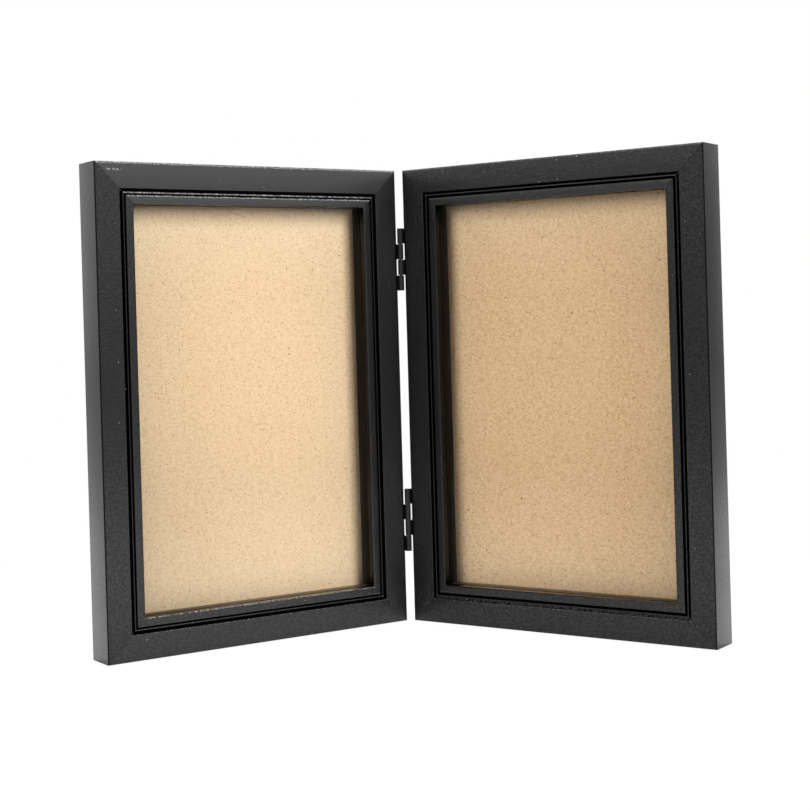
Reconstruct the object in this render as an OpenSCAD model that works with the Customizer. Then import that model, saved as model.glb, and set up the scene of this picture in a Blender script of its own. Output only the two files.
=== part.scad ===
// Hinged double photo frame: two upright frames that stand as an open V.
// Each half is four mitred rails round a pane, spacer strips and a backboard,
// held in from behind by four turn buttons. Two small butt hinges join the halves.
// Origin: centre of the footprint, on the table. +Z is up and the frames face -Y.
// Inside one half, x runs from the hinge side outwards, y from the front face to
// the rear and z up. The left half is the mirror image of the right half.

/* [Print] */
// Width of the photo print that each half holds
print_w = 101.6; // [80:0.2:160]
// Height of the photo print that each half holds
print_h = 152.4; // [110:0.2:200]
// Room left behind the backboard for the thickness of the print
print_t = 0.2; // [0.1:0.1:0.6]
// How far the lip covers each edge of the print
print_cover = 1.9; // [1:0.1:2.6]

/* [Moulding] */
// Width of the moulding across its front face
moulding_w = 15; // [13:0.1:22]
// Depth of the moulding from front face to rear face
moulding_d = 13.6; // [12:0.1:20]
// Radius of the outer front arris
outer_round = 0.5; // [0.3:0.1:2]
// Width of the flat lip face beside the opening
lip_face_w = 3.1; // [2:0.1:4]
// How far the lip face lies behind the outer face
lip_drop = 0.3; // [0.1:0.1:0.8]
// Depth from the outer face to the back of the lip
lip_t = 3.2; // [2:0.1:5]
// Radius of the lip's arris beside the opening
lip_round = 0.5; // [0.2:0.1:1]
// How far the rabbet is cut back behind the edge of the lip
rabbet_w = 2.8; // [2.7:0.1:4]

/* [Bead] */
// Width of the channel that the bead stands in
channel_w = 2.4; // [1.6:0.1:3.2]
// Depth of the channel
channel_d = 0.9; // [0.5:0.1:1.4]
// Radius of the channel's own front arrises
channel_round = 0.2; // [0.1:0.05:0.4]
// Width of the round bead
bead_w = 0.6; // [0.4:0.1:1.2]
// How far the top of the bead lies behind the outer face
bead_drop = 0.3; // [0:0.05:0.4]

/* [Filling] */
// Thickness of the glass pane
pane_t = 2; // [1.2:0.1:3]
// Thickness of the hardboard backboard
board_t = 3.2; // [2:0.1:4]
// Thickness of the level spacer strips, above and below the opening
spacer_t = 2.7; // [1:0.1:2.7]
// Thickness of the upright spacer strips, on both sides of the opening
side_spacer_t = 1.9; // [1:0.1:2.7]
// Gap between the edge of a pane or board and the rabbet
pane_gap = 0.4; // [0.2:0.1:0.8]

/* [V nails] */
// Length of each leg of a V nail
nail_leg = 5; // [3:0.5:7]
// Thickness of the steel strip of a V nail
nail_t = 0.5; // [0.3:0.1:0.8]
// Depth that a V nail is driven in from the rear face
nail_d = 7; // [4:0.5:9]

/* [Turn buttons] */
// Thickness of a turn button
button_t = 0.8; // [0.5:0.1:1.5]
// Width of a turn button, which is also the diameter of its round ends
button_w = 8; // [6:0.5:10]
// Distance from the screw to the centre of the button's far end
button_reach = 11; // [9:0.5:16]
// Clearance of a turn button above and below, and round its screw
button_play = 0.05; // [0.02:0.01:0.1]
// Diameter of the turn button screw's shank
button_screw_d = 3; // [2:0.1:3.5]
// Length of the turn button screw below its head
button_screw_l = 9; // [6:0.5:11]
// Diameter of the turn button screw's head
button_head_d = 5.6; // [4.5:0.1:6.5]
// Height of the turn button screw's head
button_head_h = 1.4; // [1:0.1:2]

/* [Hinges] */
// Height of each hinge along its pin
hinge_h = 24.6; // [18:0.2:36]
// Distance from the top of a half down to the top of the upper hinge
upper_hinge_drop = 23; // [12:0.5:40]
// Distance from the table up to the foot of the lower hinge
lower_hinge_rise = 27.7; // [12:0.5:40]
// Number of knuckles on each hinge, which the two leaves share in turn
knuckles = 4; // [2:1:6]
// Gap between two knuckles
knuckle_gap = 0.2; // [0.1:0.05:0.4]
// Thickness of the hinge leaf
leaf_t = 0.5; // [0.3:0.05:0.8]
// Width of the leaf behind the front face of the half
leaf_w = 8; // [6:0.5:11]
// How far the leaf is cut back from the pin's axis beside the other leaf's knuckles
leaf_notch = 2.4; // [1.8:0.1:3.5]
// How far the barrel reaches past the leaf's outer side
barrel_lap = 0.14; // [0:0.02:0.3]
// Diameter of the hinge pin
pin_d = 1.2; // [0.8:0.1:1.6]
// Radial clearance of the hinge pin in the right leaf's knuckles
pin_play = 0.04; // [0.02:0.01:0.1]
// How far the pin's axis stands in front of the front faces
pin_front = 1; // [0.6:0.1:2]

/* [Hinge screws] */
// Number of screws in each leaf
leaf_screws = 2; // [1:1:3]
// Diameter of the hinge screw's shank
hinge_screw_d = 1.6; // [1.2:0.1:2]
// Diameter of the hinge screw's countersunk head
hinge_head_d = 2.8; // [2.6:0.1:3.6]
// Length of the hinge screw from the face of its head to its point
hinge_screw_l = 8; // [5:0.5:10]
// Length of the hinge screw's tapered point
hinge_point_l = 1.6; // [0.8:0.1:2.4]
// Diameter of the blunt tip of that point
hinge_tip_d = 0.4; // [0.2:0.1:0.8]

/* [Screw recess] */
// Width of each arm of the cross recess in the screw heads
recess_w = 0.5; // [0.3:0.1:0.8]
// Depth of the cross recess in the turn button screws
recess_d = 0.8; // [0.3:0.1:1]
// Depth of the cross recess in the hinge screws
small_recess_d = 0.3; // [0.1:0.1:0.5]
// Share of a head's diameter that its cross recess spans
recess_span = 0.5; // [0.35:0.05:0.65]

/* [Stance] */
// Angle between the two front faces as the frame stands
stance = 111.7; // [60:0.1:150]

/* [Hidden] */
$fn = 48;
// Small overrun that carries a cut clear of the face it starts from
cut = 0.5;

// Opening and outer size of one half
opening_w = print_w - 2 * print_cover;
opening_h = print_h - 2 * print_cover;
half_w = opening_w + 2 * moulding_w;
half_h = opening_h + 2 * moulding_w;

// Rabbet: its wall, its clear size and the depths of what lies in it
rear_w = moulding_w - rabbet_w;
rabbet_cw = half_w - 2 * rear_w;
rabbet_ch = half_h - 2 * rear_w;
board_y = moulding_d - print_t - board_t;
spacer_y = lip_t + pane_t;
spacer_d = board_y - spacer_y;

// Bead channel across the moulding
channel_at = moulding_w - lip_face_w - channel_w;
bead_at = channel_at + channel_w / 2;

// Hinge barrel, and how far each half's side face lies from the pin's axis
bore_r = pin_d / 2 + pin_play;
barrel_r = bore_r + leaf_t;
side_gap = barrel_r - barrel_lap;
knuckle_h = (hinge_h - (knuckles - 1) * knuckle_gap) / knuckles;
plate_front = leaf_notch - pin_front;
leaf_screw_y = (plate_front + leaf_w) / 2;
upper_hinge_z = half_h - upper_hinge_drop - hinge_h;

// Turn angle of each half away from the flat, and the pin's place over the footprint
half_turn = (180 - stance) / 2;
button_top = moulding_d + 2 * button_play + button_t + button_head_h;
head_edge = rear_w / 2 - button_head_d / 2;
rear_reach = (pin_front + moulding_d) * cos(half_turn) - side_gap * sin(half_turn);
button_over = (pin_front + button_top) * cos(half_turn) - (side_gap + head_edge) * sin(half_turn);
back_reach = max(rear_reach, button_over);
front_reach = (side_gap + half_w - outer_round) * sin(half_turn) + outer_round
    - (pin_front + outer_round) * cos(half_turn);
pin_y = (front_reach - back_reach) / 2;

// Moulding section: x is the depth from the front face, y the distance from the outer edge
module front_round(r) {
    difference() {
        translate([-cut, -cut]) square(r + cut);
        translate([r, r]) circle(r);
    }
}

module moulding_section() {
    bead_r = bead_w / 2;
    difference() {
        union() {
            square([moulding_d, rear_w]);
            square([lip_t, moulding_w]);
        }
        front_round(outer_round);
        translate([-cut, channel_at]) square([channel_d + cut, channel_w]);
        translate([0, channel_at]) mirror([0, 1]) front_round(channel_round);
        translate([-cut, channel_at + channel_w]) square([lip_drop + cut, lip_face_w + cut]);
        translate([lip_drop, channel_at + channel_w]) front_round(channel_round);
        translate([lip_drop, moulding_w]) mirror([0, 1]) front_round(lip_round);
    }
    translate([bead_drop + bead_r, bead_at]) circle(bead_r);
    translate([bead_drop + bead_r, bead_at - bead_r]) square([channel_d - bead_drop, bead_w]);
}

// A V nail seen from the rear: two legs that meet on the mitre line
module v_nail() {
    at = (rear_w - nail_leg) / 2;
    translate([at, moulding_d - nail_d, at]) cube([nail_leg, nail_d, nail_t]);
    translate([at, moulding_d - nail_d, at]) cube([nail_t, nail_d, nail_leg]);
}

// Children repeated at the four corners of a half, drawn for the lower hinge corner
module at_corners() {
    for (across = [0, 1])
        for (up = [0, 1])
            translate([across * half_w, 0, up * half_h])
                mirror([across, 0, 0])
                    mirror([0, 0, up])
                        children();
}

// A run of moulding along x, mitred at both ends, with slots for the V nails
module mitred_rail(l) {
    difference() {
        intersection() {
            rotate([90, 0, 90]) linear_extrude(l) moulding_section();
            translate([0, moulding_d, 0])
                rotate([90, 0, 0])
                    linear_extrude(moulding_d)
                        polygon([[0, 0], [l, 0], [l - moulding_w, moulding_w], [moulding_w, moulding_w]]);
        }
        v_nail();
        translate([l, 0, 0]) mirror([1, 0, 0]) v_nail();
    }
}

// Places on a half's rear face where the turn buttons pivot
module at_top() { translate([half_w / 2, 0, half_h - rear_w / 2]) children(); }
module at_bottom() { translate([half_w / 2, 0, rear_w / 2]) rotate([0, 180, 0]) children(); }
module at_outer() { translate([half_w - rear_w / 2, 0, half_h / 2]) rotate([0, 90, 0]) children(); }
module at_hinge() { translate([rear_w / 2, 0, half_h / 2]) rotate([0, -90, 0]) children(); }

// A bore or shank that runs along y from one depth to another
module along_y(from, to, r) {
    translate([0, from, 0]) rotate([-90, 0, 0]) cylinder(h = to - from, r = r);
}

module button_pilot() {
    along_y(moulding_d - button_screw_l, moulding_d + cut, button_screw_d / 2);
}

// Rails and stiles
module top_rail() {
    color([0.1, 0.1, 0.1])
        difference() {
            translate([0, 0, half_h]) mirror([0, 0, 1]) mitred_rail(half_w);
            at_top() button_pilot();
        }
}

module bottom_rail() {
    color([0.1, 0.1, 0.1])
        difference() {
            mitred_rail(half_w);
            at_bottom() button_pilot();
        }
}

module outer_stile() {
    color([0.12, 0.12, 0.12])
        difference() {
            translate([half_w, 0, 0]) mirror([1, 0, 0]) mirror([1, 0, -1]) mitred_rail(half_h);
            at_outer() button_pilot();
        }
}

module hinge_stile() {
    color([0.08, 0.08, 0.08])
        difference() {
            mirror([1, 0, -1]) mitred_rail(half_h);
            at_hinge() button_pilot();
            at_leaf_screws() countersink();
            at_leaf_screws() along_x(-leaf_t, hinge_screw_l - leaf_t, hinge_screw_d / 2);
        }
}

// Pane, spacer strips and backboard
module sheet(y, t) {
    translate([rear_w + pane_gap, y, rear_w + pane_gap])
        cube([rabbet_cw - 2 * pane_gap, t, rabbet_ch - 2 * pane_gap]);
}

module pane() {
    color([0.8, 0.9, 0.9, 0.3]) sheet(lip_t, pane_t);
}

module backboard() {
    color([0.78, 0.6, 0.44]) sheet(board_y, board_t);
}

module level_spacer(z) {
    color([0.06, 0.06, 0.06])
        translate([rear_w, spacer_y, z]) cube([rabbet_cw, spacer_d, spacer_t]);
}

module upright_spacer(x) {
    color([0.06, 0.06, 0.06])
        translate([x, spacer_y, rear_w + spacer_t])
            cube([side_spacer_t, spacer_d, rabbet_ch - 2 * spacer_t]);
}

module v_nails() {
    color([0.6, 0.6, 0.62]) at_corners() v_nail();
}

// A turn button, drawn hanging down from its pivot
module turn_button() {
    button_r = button_w / 2;
    color([0.7, 0.7, 0.7])
        translate([0, moulding_d + button_play + button_t, 0])
            rotate([90, 0, 0])
                linear_extrude(button_t)
                    difference() {
                        union() {
                            circle(button_r);
                            translate([-button_r, -button_reach]) square([button_w, button_reach]);
                            translate([0, -button_reach]) circle(button_r);
                        }
                        circle(button_screw_d / 2 + button_play);
                    }
}

// A cross recess cut down from y = 0, for a head that faces +y
module cross_recess(arm, depth) {
    translate([-arm / 2, -depth, -recess_w / 2]) cube([arm, depth + cut, recess_w]);
    translate([-recess_w / 2, -depth, -arm / 2]) cube([recess_w, depth + cut, arm]);
}

// Round head with a soft top edge, turned about y and seated on y = 0
module button_head() {
    soft = button_head_h / 2;
    rotate([-90, 0, 0])
        rotate_extrude() {
            square([button_head_d / 2, button_head_h - soft]);
            square([button_head_d / 2 - soft, button_head_h]);
            translate([button_head_d / 2 - soft, button_head_h - soft])
                intersection() {
                    circle(soft);
                    square(soft);
                }
        }
}

module button_screw() {
    seat = moulding_d + 2 * button_play + button_t;
    along_y(moulding_d - button_screw_l, seat, button_screw_d / 2);
    difference() {
        translate([0, seat, 0]) button_head();
        translate([0, seat + button_head_h, 0]) cross_recess(button_head_d * recess_span, recess_d);
    }
}

module button_screws() {
    color([0.72, 0.72, 0.74]) {
        at_top() button_screw();
        at_bottom() button_screw();
        at_outer() button_screw();
        at_hinge() button_screw();
    }
}

// Hinges: x = 0 is the half's own side face, and the pin stands in front of it
module along_x(from, to, r) {
    translate([from, 0, 0]) rotate([0, 90, 0]) cylinder(h = to - from, r = r);
}

module at_leaf_screws() {
    for (foot = [upper_hinge_z, lower_hinge_rise])
        for (i = [0 : leaf_screws - 1])
            translate([0, leaf_screw_y, foot + hinge_h * (i + 0.5) / leaf_screws])
                children();
}

module knuckle_run(i, r) {
    translate([-side_gap, -pin_front, i * (knuckle_h + knuckle_gap)]) cylinder(h = knuckle_h, r = r);
}

// Countersunk head, its face flush with the leaf
module countersink() {
    sink = (hinge_head_d - hinge_screw_d) / 2;
    translate([-leaf_t, 0, 0])
        rotate([0, 90, 0])
            cylinder(h = sink, r1 = hinge_head_d / 2, r2 = hinge_screw_d / 2);
}

// One leaf: first is 0 for the leaf with the lowest knuckle and 1 for the other
module leaf(foot, first, hole_r) {
    color([0.07, 0.07, 0.07])
        difference() {
            translate([0, 0, foot]) {
                translate([-leaf_t, plate_front, 0]) cube([leaf_t, leaf_w - plate_front, hinge_h]);
                for (i = [first : 2 : knuckles - 1]) {
                    translate([-leaf_t, -pin_front, i * (knuckle_h + knuckle_gap)])
                        cube([leaf_t, leaf_notch, knuckle_h]);
                    knuckle_run(i, barrel_r);
                }
            }
            translate([-side_gap, -pin_front, foot - cut]) cylinder(h = hinge_h + 2 * cut, r = hole_r);
            at_leaf_screws() countersink();
            at_leaf_screws() along_x(-leaf_t - cut, cut, hinge_screw_d / 2);
        }
}

// The left leaf's knuckles grip the pin and the right leaf's turn on it
module left_leaf(foot) { leaf(foot, 0, pin_d / 2); }
module right_leaf(foot) { leaf(foot, 1, bore_r); }

module hinge_pin(foot) {
    color([0.2, 0.2, 0.2]) translate([0, pin_y, foot]) cylinder(h = hinge_h, r = pin_d / 2);
}

// Wood screw: countersunk head, straight shank and a short point
module hinge_screw() {
    shank_end = hinge_screw_l - leaf_t - hinge_point_l;
    difference() {
        union() {
            countersink();
            along_x(-leaf_t, shank_end, hinge_screw_d / 2);
            translate([shank_end, 0, 0])
                rotate([0, 90, 0])
                    cylinder(h = hinge_point_l, r1 = hinge_screw_d / 2, r2 = hinge_tip_d / 2);
        }
        translate([-leaf_t, 0, 0])
            rotate([0, 0, 90])
                cross_recess(hinge_head_d * recess_span, small_recess_d);
    }
}

module hinge_screws() {
    color([0.15, 0.15, 0.15]) at_leaf_screws() hinge_screw();
}

// Places for each half, measured from its own lower hinge corner
module on_right() {
    translate([0, pin_y, 0]) rotate([0, 0, -half_turn]) translate([side_gap, pin_front, 0]) children();
}

module on_left() { mirror([1, 0, 0]) on_right() children(); }

on_left() top_rail();  // left_top_rail
on_left() bottom_rail();  // left_bottom_rail
on_left() outer_stile();  // left_outer_stile
on_left() hinge_stile();  // left_hinge_stile
on_left() pane();  // left_pane
on_left() level_spacer(half_h - rear_w - spacer_t);  // left_top_spacer
on_left() level_spacer(rear_w);  // left_bottom_spacer
on_left() upright_spacer(half_w - rear_w - side_spacer_t);  // left_outer_spacer
on_left() upright_spacer(rear_w);  // left_hinge_spacer
on_left() backboard();  // left_backboard
on_left() v_nails();  // left_v_nails
on_left() at_top() turn_button();  // left_top_button
on_left() at_bottom() turn_button();  // left_bottom_button
on_left() at_outer() turn_button();  // left_outer_button
on_left() at_hinge() turn_button();  // left_hinge_button
on_left() button_screws();  // left_button_screws
on_left() hinge_screws();  // left_hinge_screws
on_right() top_rail();  // right_top_rail
on_right() bottom_rail();  // right_bottom_rail
on_right() outer_stile();  // right_outer_stile
on_right() hinge_stile();  // right_hinge_stile
on_right() pane();  // right_pane
on_right() level_spacer(half_h - rear_w - spacer_t);  // right_top_spacer
on_right() level_spacer(rear_w);  // right_bottom_spacer
on_right() upright_spacer(half_w - rear_w - side_spacer_t);  // right_outer_spacer
on_right() upright_spacer(rear_w);  // right_hinge_spacer
on_right() backboard();  // right_backboard
on_right() v_nails();  // right_v_nails
on_right() at_top() turn_button();  // right_top_button
on_right() at_bottom() turn_button();  // right_bottom_button
on_right() at_outer() turn_button();  // right_outer_button
on_right() at_hinge() turn_button();  // right_hinge_button
on_right() button_screws();  // right_button_screws
on_right() hinge_screws();  // right_hinge_screws
on_left() left_leaf(upper_hinge_z);  // upper_hinge_left_leaf
on_right() right_leaf(upper_hinge_z);  // upper_hinge_right_leaf
hinge_pin(upper_hinge_z);  // upper_hinge_pin
on_left() left_leaf(lower_hinge_rise);  // lower_hinge_left_leaf
on_right() right_leaf(lower_hinge_rise);  // lower_hinge_right_leaf
hinge_pin(lower_hinge_rise);  // lower_hinge_pin
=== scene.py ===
"""Dresses a hinged double photo frame and stands it in a plain white studio.

Sizes are in millimetres. Inside one half, x runs from the hinge side outwards, y from the front
face to the rear and z up. The left half is the mirror image of the right half.
"""

from __future__ import annotations

import logging
import math
from collections.abc import Callable, Iterable, Sequence
from dataclasses import asdict, dataclass, field
from enum import Enum
from typing import Any

import bmesh
import bpy
from mathutils import Matrix, Vector


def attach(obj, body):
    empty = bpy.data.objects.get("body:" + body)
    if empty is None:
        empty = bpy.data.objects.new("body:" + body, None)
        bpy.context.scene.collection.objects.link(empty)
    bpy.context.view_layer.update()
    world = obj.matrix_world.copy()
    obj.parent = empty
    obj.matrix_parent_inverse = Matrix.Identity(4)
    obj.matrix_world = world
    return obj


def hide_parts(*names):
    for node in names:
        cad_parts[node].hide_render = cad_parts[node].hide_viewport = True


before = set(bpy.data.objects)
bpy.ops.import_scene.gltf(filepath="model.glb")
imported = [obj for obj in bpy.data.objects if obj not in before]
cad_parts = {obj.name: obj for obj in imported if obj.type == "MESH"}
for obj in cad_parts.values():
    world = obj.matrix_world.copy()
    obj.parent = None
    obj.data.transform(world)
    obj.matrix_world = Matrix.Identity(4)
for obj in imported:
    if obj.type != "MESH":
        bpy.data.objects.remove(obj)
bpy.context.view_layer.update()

LOG = logging.getLogger("photo_frame")
MM = 0.001
CREASE = math.radians(32.0)
WHITE = (1.0, 1.0, 1.0, 1.0)
Point = tuple[float, float]
Colour = tuple[float, ...]
Mesh = bpy.types.Mesh
Material = bpy.types.Material
Work = bmesh.types.BMesh
Corner = bmesh.types.BMVert
Ring = Sequence[Corner]


def linked(name: str, data: bpy.types.ID) -> bpy.types.Object:
    """A new object in the scene."""
    made = bpy.data.objects.new(name, data)
    bpy.context.scene.collection.objects.link(made)
    return made


def emptied(owner: Material | bpy.types.World) -> bpy.types.NodeTree:
    """The node tree of a new material or world, without its first nodes."""
    owner.use_nodes = True
    owner.node_tree.nodes.clear()
    return owner.node_tree


class Side(Enum):
    """The two halves of the frame."""

    LEFT = "left"
    RIGHT = "right"


class Edge(Enum):
    """The four edges of a half, each with its moulding, spacer strip and turn button."""

    TOP = "top"
    BOTTOM = "bottom"
    OUTER = "outer"
    HINGE = "hinge"

    @property
    def level(self) -> bool:
        """Whether the edge lies level."""
        return self in (Edge.TOP, Edge.BOTTOM)

    @property
    def run(self) -> str:
        """Name of its run of moulding."""
        return f"{self.value}_{'rail' if self.level else 'stile'}"


class Level(Enum):
    """The two hinges."""

    UPPER = "upper"
    LOWER = "lower"


class Slot(Enum):
    """The record's material slots."""

    MOULDING = "black_moulding"
    GLASS = "clear_glass"
    HARDBOARD = "tan_hardboard"
    SPACER = "black_card"
    HINGE = "black_metal"
    STEEL = "bright_steel"


def term(operation: str, reflected: bool = False) -> Callable[..., Wire]:
    """An operator that adds a Math node, with its terms swapped where it is reflected."""

    def work(self: Wire, *others: Wire | float) -> Wire:
        """The Math node on this value and the others."""
        terms = (*others, self) if reflected else (self, *others)
        return self.graph.node("ShaderNodeMath", {"operation": operation}, dict(enumerate(terms)))

    return work


class Wire:
    """An output socket that can stand in a sum."""

    def __init__(self, graph: Graph, socket: bpy.types.NodeSocket) -> None:
        """Keeps the socket and the tree that it belongs to."""
        self.graph = graph
        self.socket = socket

    def other(self, name: str) -> Wire:
        """Another output of the same node."""
        return Wire(self.graph, self.socket.node.outputs[name])

    __add__, __radd__ = term("ADD"), term("ADD", True)
    __sub__, __rsub__ = term("SUBTRACT"), term("SUBTRACT", True)
    __mul__, __rmul__ = term("MULTIPLY"), term("MULTIPLY", True)
    __truediv__, __abs__ = term("DIVIDE"), term("ABSOLUTE")
    least, most, above = term("MINIMUM"), term("MAXIMUM"), term("GREATER_THAN")
    sine, fraction, arctan = term("SINE"), term("FRACT"), term("ARCTAN2")

    def ramp(self, low: float, high: float, start: float = 0.0, end: float = 1.0) -> Wire:
        """Eases from start to end while the value goes from low to high.

        Args:
            low: Value at which the result is start.
            high: Value at which the result is end.
            start: Result at and before low.
            end: Result at and after high.

        Returns:
            The eased value.
        """
        feeds = {"Value": self, "From Min": low, "From Max": high, "To Min": start, "To Max": end}
        return self.graph.node("ShaderNodeMapRange", {"interpolation_type": "SMOOTHSTEP"}, feeds)


class Graph:
    """A node tree that is written as expressions."""

    def __init__(self, tree: bpy.types.NodeTree) -> None:
        """Keeps the tree."""
        self.tree = tree

    def node(
        self,
        kind: str,
        settings: dict[str, Any] | None = None,
        feeds: dict[str | int, Any] | None = None,
        out: str | int = 0,
    ) -> Wire:
        """Makes one node.

        Args:
            kind: The node's type.
            settings: Its properties, which are set before the sockets.
            feeds: Values or wires for its input sockets, by name or number.
            out: The output socket that is returned.

        Returns:
            That output as a wire.
        """
        made = self.tree.nodes.new(kind)
        for name, value in (settings or {}).items():
            setattr(made, name, value)
        for key, value in (feeds or {}).items():
            if isinstance(value, Wire):
                self.tree.links.new(value.socket, made.inputs[key])
            else:
                made.inputs[key].default_value = value
        return Wire(self, made.outputs[out])

    def vector(self, x: Wire | float, y: Wire | float, z: Wire | float = 0.0) -> Wire:
        """Three numbers as one vector."""
        return self.node("ShaderNodeCombineXYZ", feeds={0: x, 1: y, 2: z})

    def part(self, vector: Wire, axis: str = "X") -> Wire:
        """One coordinate of a vector."""
        return self.node("ShaderNodeSeparateXYZ", feeds={0: vector}, out=axis)

    def vectors(self, operation: str, feeds: dict[str | int, Any], out: str | int = 0) -> Wire:
        """A Vector Math node."""
        return self.node("ShaderNodeVectorMath", {"operation": operation}, feeds, out)

    def end(self, kind: str, last: Wire) -> None:
        """Joins the last wire to a new end node."""
        self.tree.links.new(last.socket, self.tree.nodes.new(kind).inputs[0])


class Paint(Graph):
    """A material whose look is written as expressions."""

    def __init__(self, name: str) -> None:
        """Starts an empty material."""
        self.material = bpy.data.materials.new(name)
        super().__init__(emptied(self.material))

    def place(self) -> Wire:
        """Object coordinates in millimetres."""
        point = self.node("ShaderNodeTexCoord", out="Object")
        return self.vectors("SCALE", {0: point, "Scale": 1 / MM})

    def attribute(self, name: str) -> Wire:
        """A number that the mesh carries at its points."""
        return self.node("ShaderNodeAttribute", {"attribute_name": name}, out="Fac")

    def stretched(self, point: Wire, factors: Sequence[float]) -> Wire:
        """A vector scaled by its own factor along each axis."""
        return self.vectors("MULTIPLY", {0: point, 1: factors})

    def noise(self, point: Wire, grain: float, detail: float = 2.0, rough: float = 0.5) -> Wire:
        """Soft noise.

        Args:
            point: Where it is read, in millimetres.
            grain: Width of its main lumps in millimetres.
            detail: Number of finer layers.
            rough: Strength of the finer layers.

        Returns:
            A value round 0.5.
        """
        feeds = {"Vector": point, "Scale": 1 / grain, "Detail": detail, "Roughness": rough}
        return self.node("ShaderNodeTexNoise", feeds=feeds)

    def specks(self, point: Wire, pitch: float, radius: float, share: float) -> Wire:
        """Small round specks in some of the cells of a scattered grid.

        Args:
            point: Where it is read, in millimetres.
            pitch: Width of a cell in millimetres.
            radius: Radius of the largest speck in millimetres.
            share: Share of the cells that hold one.

        Returns:
            1 inside a speck and 0 outside.
        """
        cell = self.node("ShaderNodeTexVoronoi", feeds={"Vector": point, "Scale": 1 / pitch})
        parts = self.node("ShaderNodeSeparateColor", feeds={"Color": cell.other("Color")})
        chosen = parts.ramp(1 - share, 1 - share + 0.02)
        reach = (parts.other("Green") * 0.7 + 0.3) * (radius / pitch)
        return (reach - cell).ramp(0.0, 0.25 * radius / pitch) * chosen

    def mix(self, first: Any, second: Any, share: Wire | float, blend: str = "MIX") -> Wire:
        """One colour laid over another.

        Args:
            first: The lower colour.
            second: The upper colour.
            share: How much of the upper colour shows.
            blend: How the two are combined.

        Returns:
            The mixed colour.
        """
        settings = {"data_type": "RGBA", "blend_type": blend, "clamp_factor": True}
        return self.node("ShaderNodeMix", settings, {0: share, 6: first, 7: second}, 2)

    def tone(self, colour: Any, amount: Wire) -> Wire:
        """A colour made lighter or darker by a varying factor."""
        plain = colour if isinstance(colour, Wire) else tuple(colour)[:3]
        return self.vectors("SCALE", {0: plain, "Scale": amount})

    def bump(self, height: Wire, depth: float, strength: float = 1.0) -> Wire:
        """A normal from a height of 0 to 1 that stands for a depth in millimetres."""
        feeds = {"Height": height, "Distance": depth * MM, "Strength": strength}
        return self.node("ShaderNodeBump", feeds=feeds)

    def shader(self, **feeds: Any) -> Wire:
        """A Principled shader, its sockets named with underscores for spaces."""
        named = {key.replace("_", " "): value for key, value in feeds.items()}
        return self.node("ShaderNodeBsdfPrincipled", feeds=named)

    def finish(self, surface: Wire) -> Material:
        """Joins the surface to the material's output and hands over the material."""
        self.end("ShaderNodeOutputMaterial", surface)
        return self.material

    def coat(self, **feeds: Any) -> Material:
        """Finishes the material with a Principled shader."""
        return self.finish(self.shader(**feeds))


class Jig(Graph):
    """A geometry tree with named inputs, which shapes a blank mesh."""

    def __init__(self, name: str, inputs: dict[str, str]) -> None:
        """Starts the tree.

        Args:
            name: The tree's name.
            inputs: The type of each named input after the blank itself.
        """
        super().__init__(bpy.data.node_groups.new(name, "GeometryNodeTree"))
        face = self.tree.interface
        face.new_socket("Blank", in_out="INPUT", socket_type="NodeSocketGeometry")
        face.new_socket("Shaped", in_out="OUTPUT", socket_type="NodeSocketGeometry")
        self.keys = {
            label: face.new_socket(label, in_out="INPUT", socket_type=kind).identifier
            for label, kind in {**inputs, "Material": "NodeSocketMaterial"}.items()
        }
        self.start = self.node("NodeGroupInput")

    def given(self, label: str) -> Wire:
        """A named input."""
        return self.start.other(label)

    def carried(self, label: str, kind: str = "FLOAT") -> Wire:
        """A value that the geometry carries under a name."""
        settings = {"data_type": kind}
        return self.node("GeometryNodeInputNamedAttribute", settings, {"Name": label})

    def store(self, geometry: Wire, label: str, value: Wire) -> Wire:
        """The geometry with a value kept at its points under a name."""
        settings = {"data_type": "FLOAT", "domain": "POINT"}
        feeds = {"Geometry": geometry, "Name": label, "Value": value}
        return self.node("GeometryNodeStoreNamedAttribute", settings, feeds)

    def moved(self, geometry: Wire, x: Wire | float, y: Wire | float, z: Wire | float) -> Wire:
        """The geometry with its points at x, y and z."""
        feeds = {"Geometry": geometry, "Position": self.vector(x, y, z)}
        return self.node("GeometryNodeSetPosition", feeds=feeds)

    def close(self, geometry: Wire) -> None:
        """Ends the tree with plain geometry that has its material."""
        real = self.node("GeometryNodeRealizeInstances", feeds={"Geometry": geometry})
        feeds = {"Geometry": real, "Material": self.given("Material")}
        self.end("NodeGroupOutput", self.node("GeometryNodeSetMaterial", feeds=feeds))

    def shape(self, blank: Mesh, values: dict[str, Any]) -> Mesh:
        """Runs the tree on a blank.

        Args:
            blank: The mesh that goes in.
            values: The value of each named input.

        Returns:
            The shaped mesh.
        """
        holder = linked(blank.name, blank)
        modifier = holder.modifiers.new("Jig", "NODES")
        modifier.node_group = self.tree
        for label, value in values.items():
            modifier[self.keys[label]] = value
        graph = bpy.context.evaluated_depsgraph_get()
        made = bpy.data.meshes.new_from_object(holder.evaluated_get(graph), depsgraph=graph)
        holder.modifiers.remove(modifier)
        bpy.data.objects.remove(holder)
        bpy.data.meshes.remove(blank)
        return made


def arc(centre: Point, radius: float, start: float, end: float, steps: int) -> list[Point]:
    """Points on an arc.

    Args:
        centre: Its centre.
        radius: Its radius.
        start: Angle of the first point in degrees.
        end: Angle of the last point in degrees.
        steps: Number of chords.

    Returns:
        The points, both ends included.
    """
    angles = [math.radians(start + (end - start) * i / steps) for i in range(steps + 1)]
    return [(centre[0] + radius * math.cos(a), centre[1] + radius * math.sin(a)) for a in angles]


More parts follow.
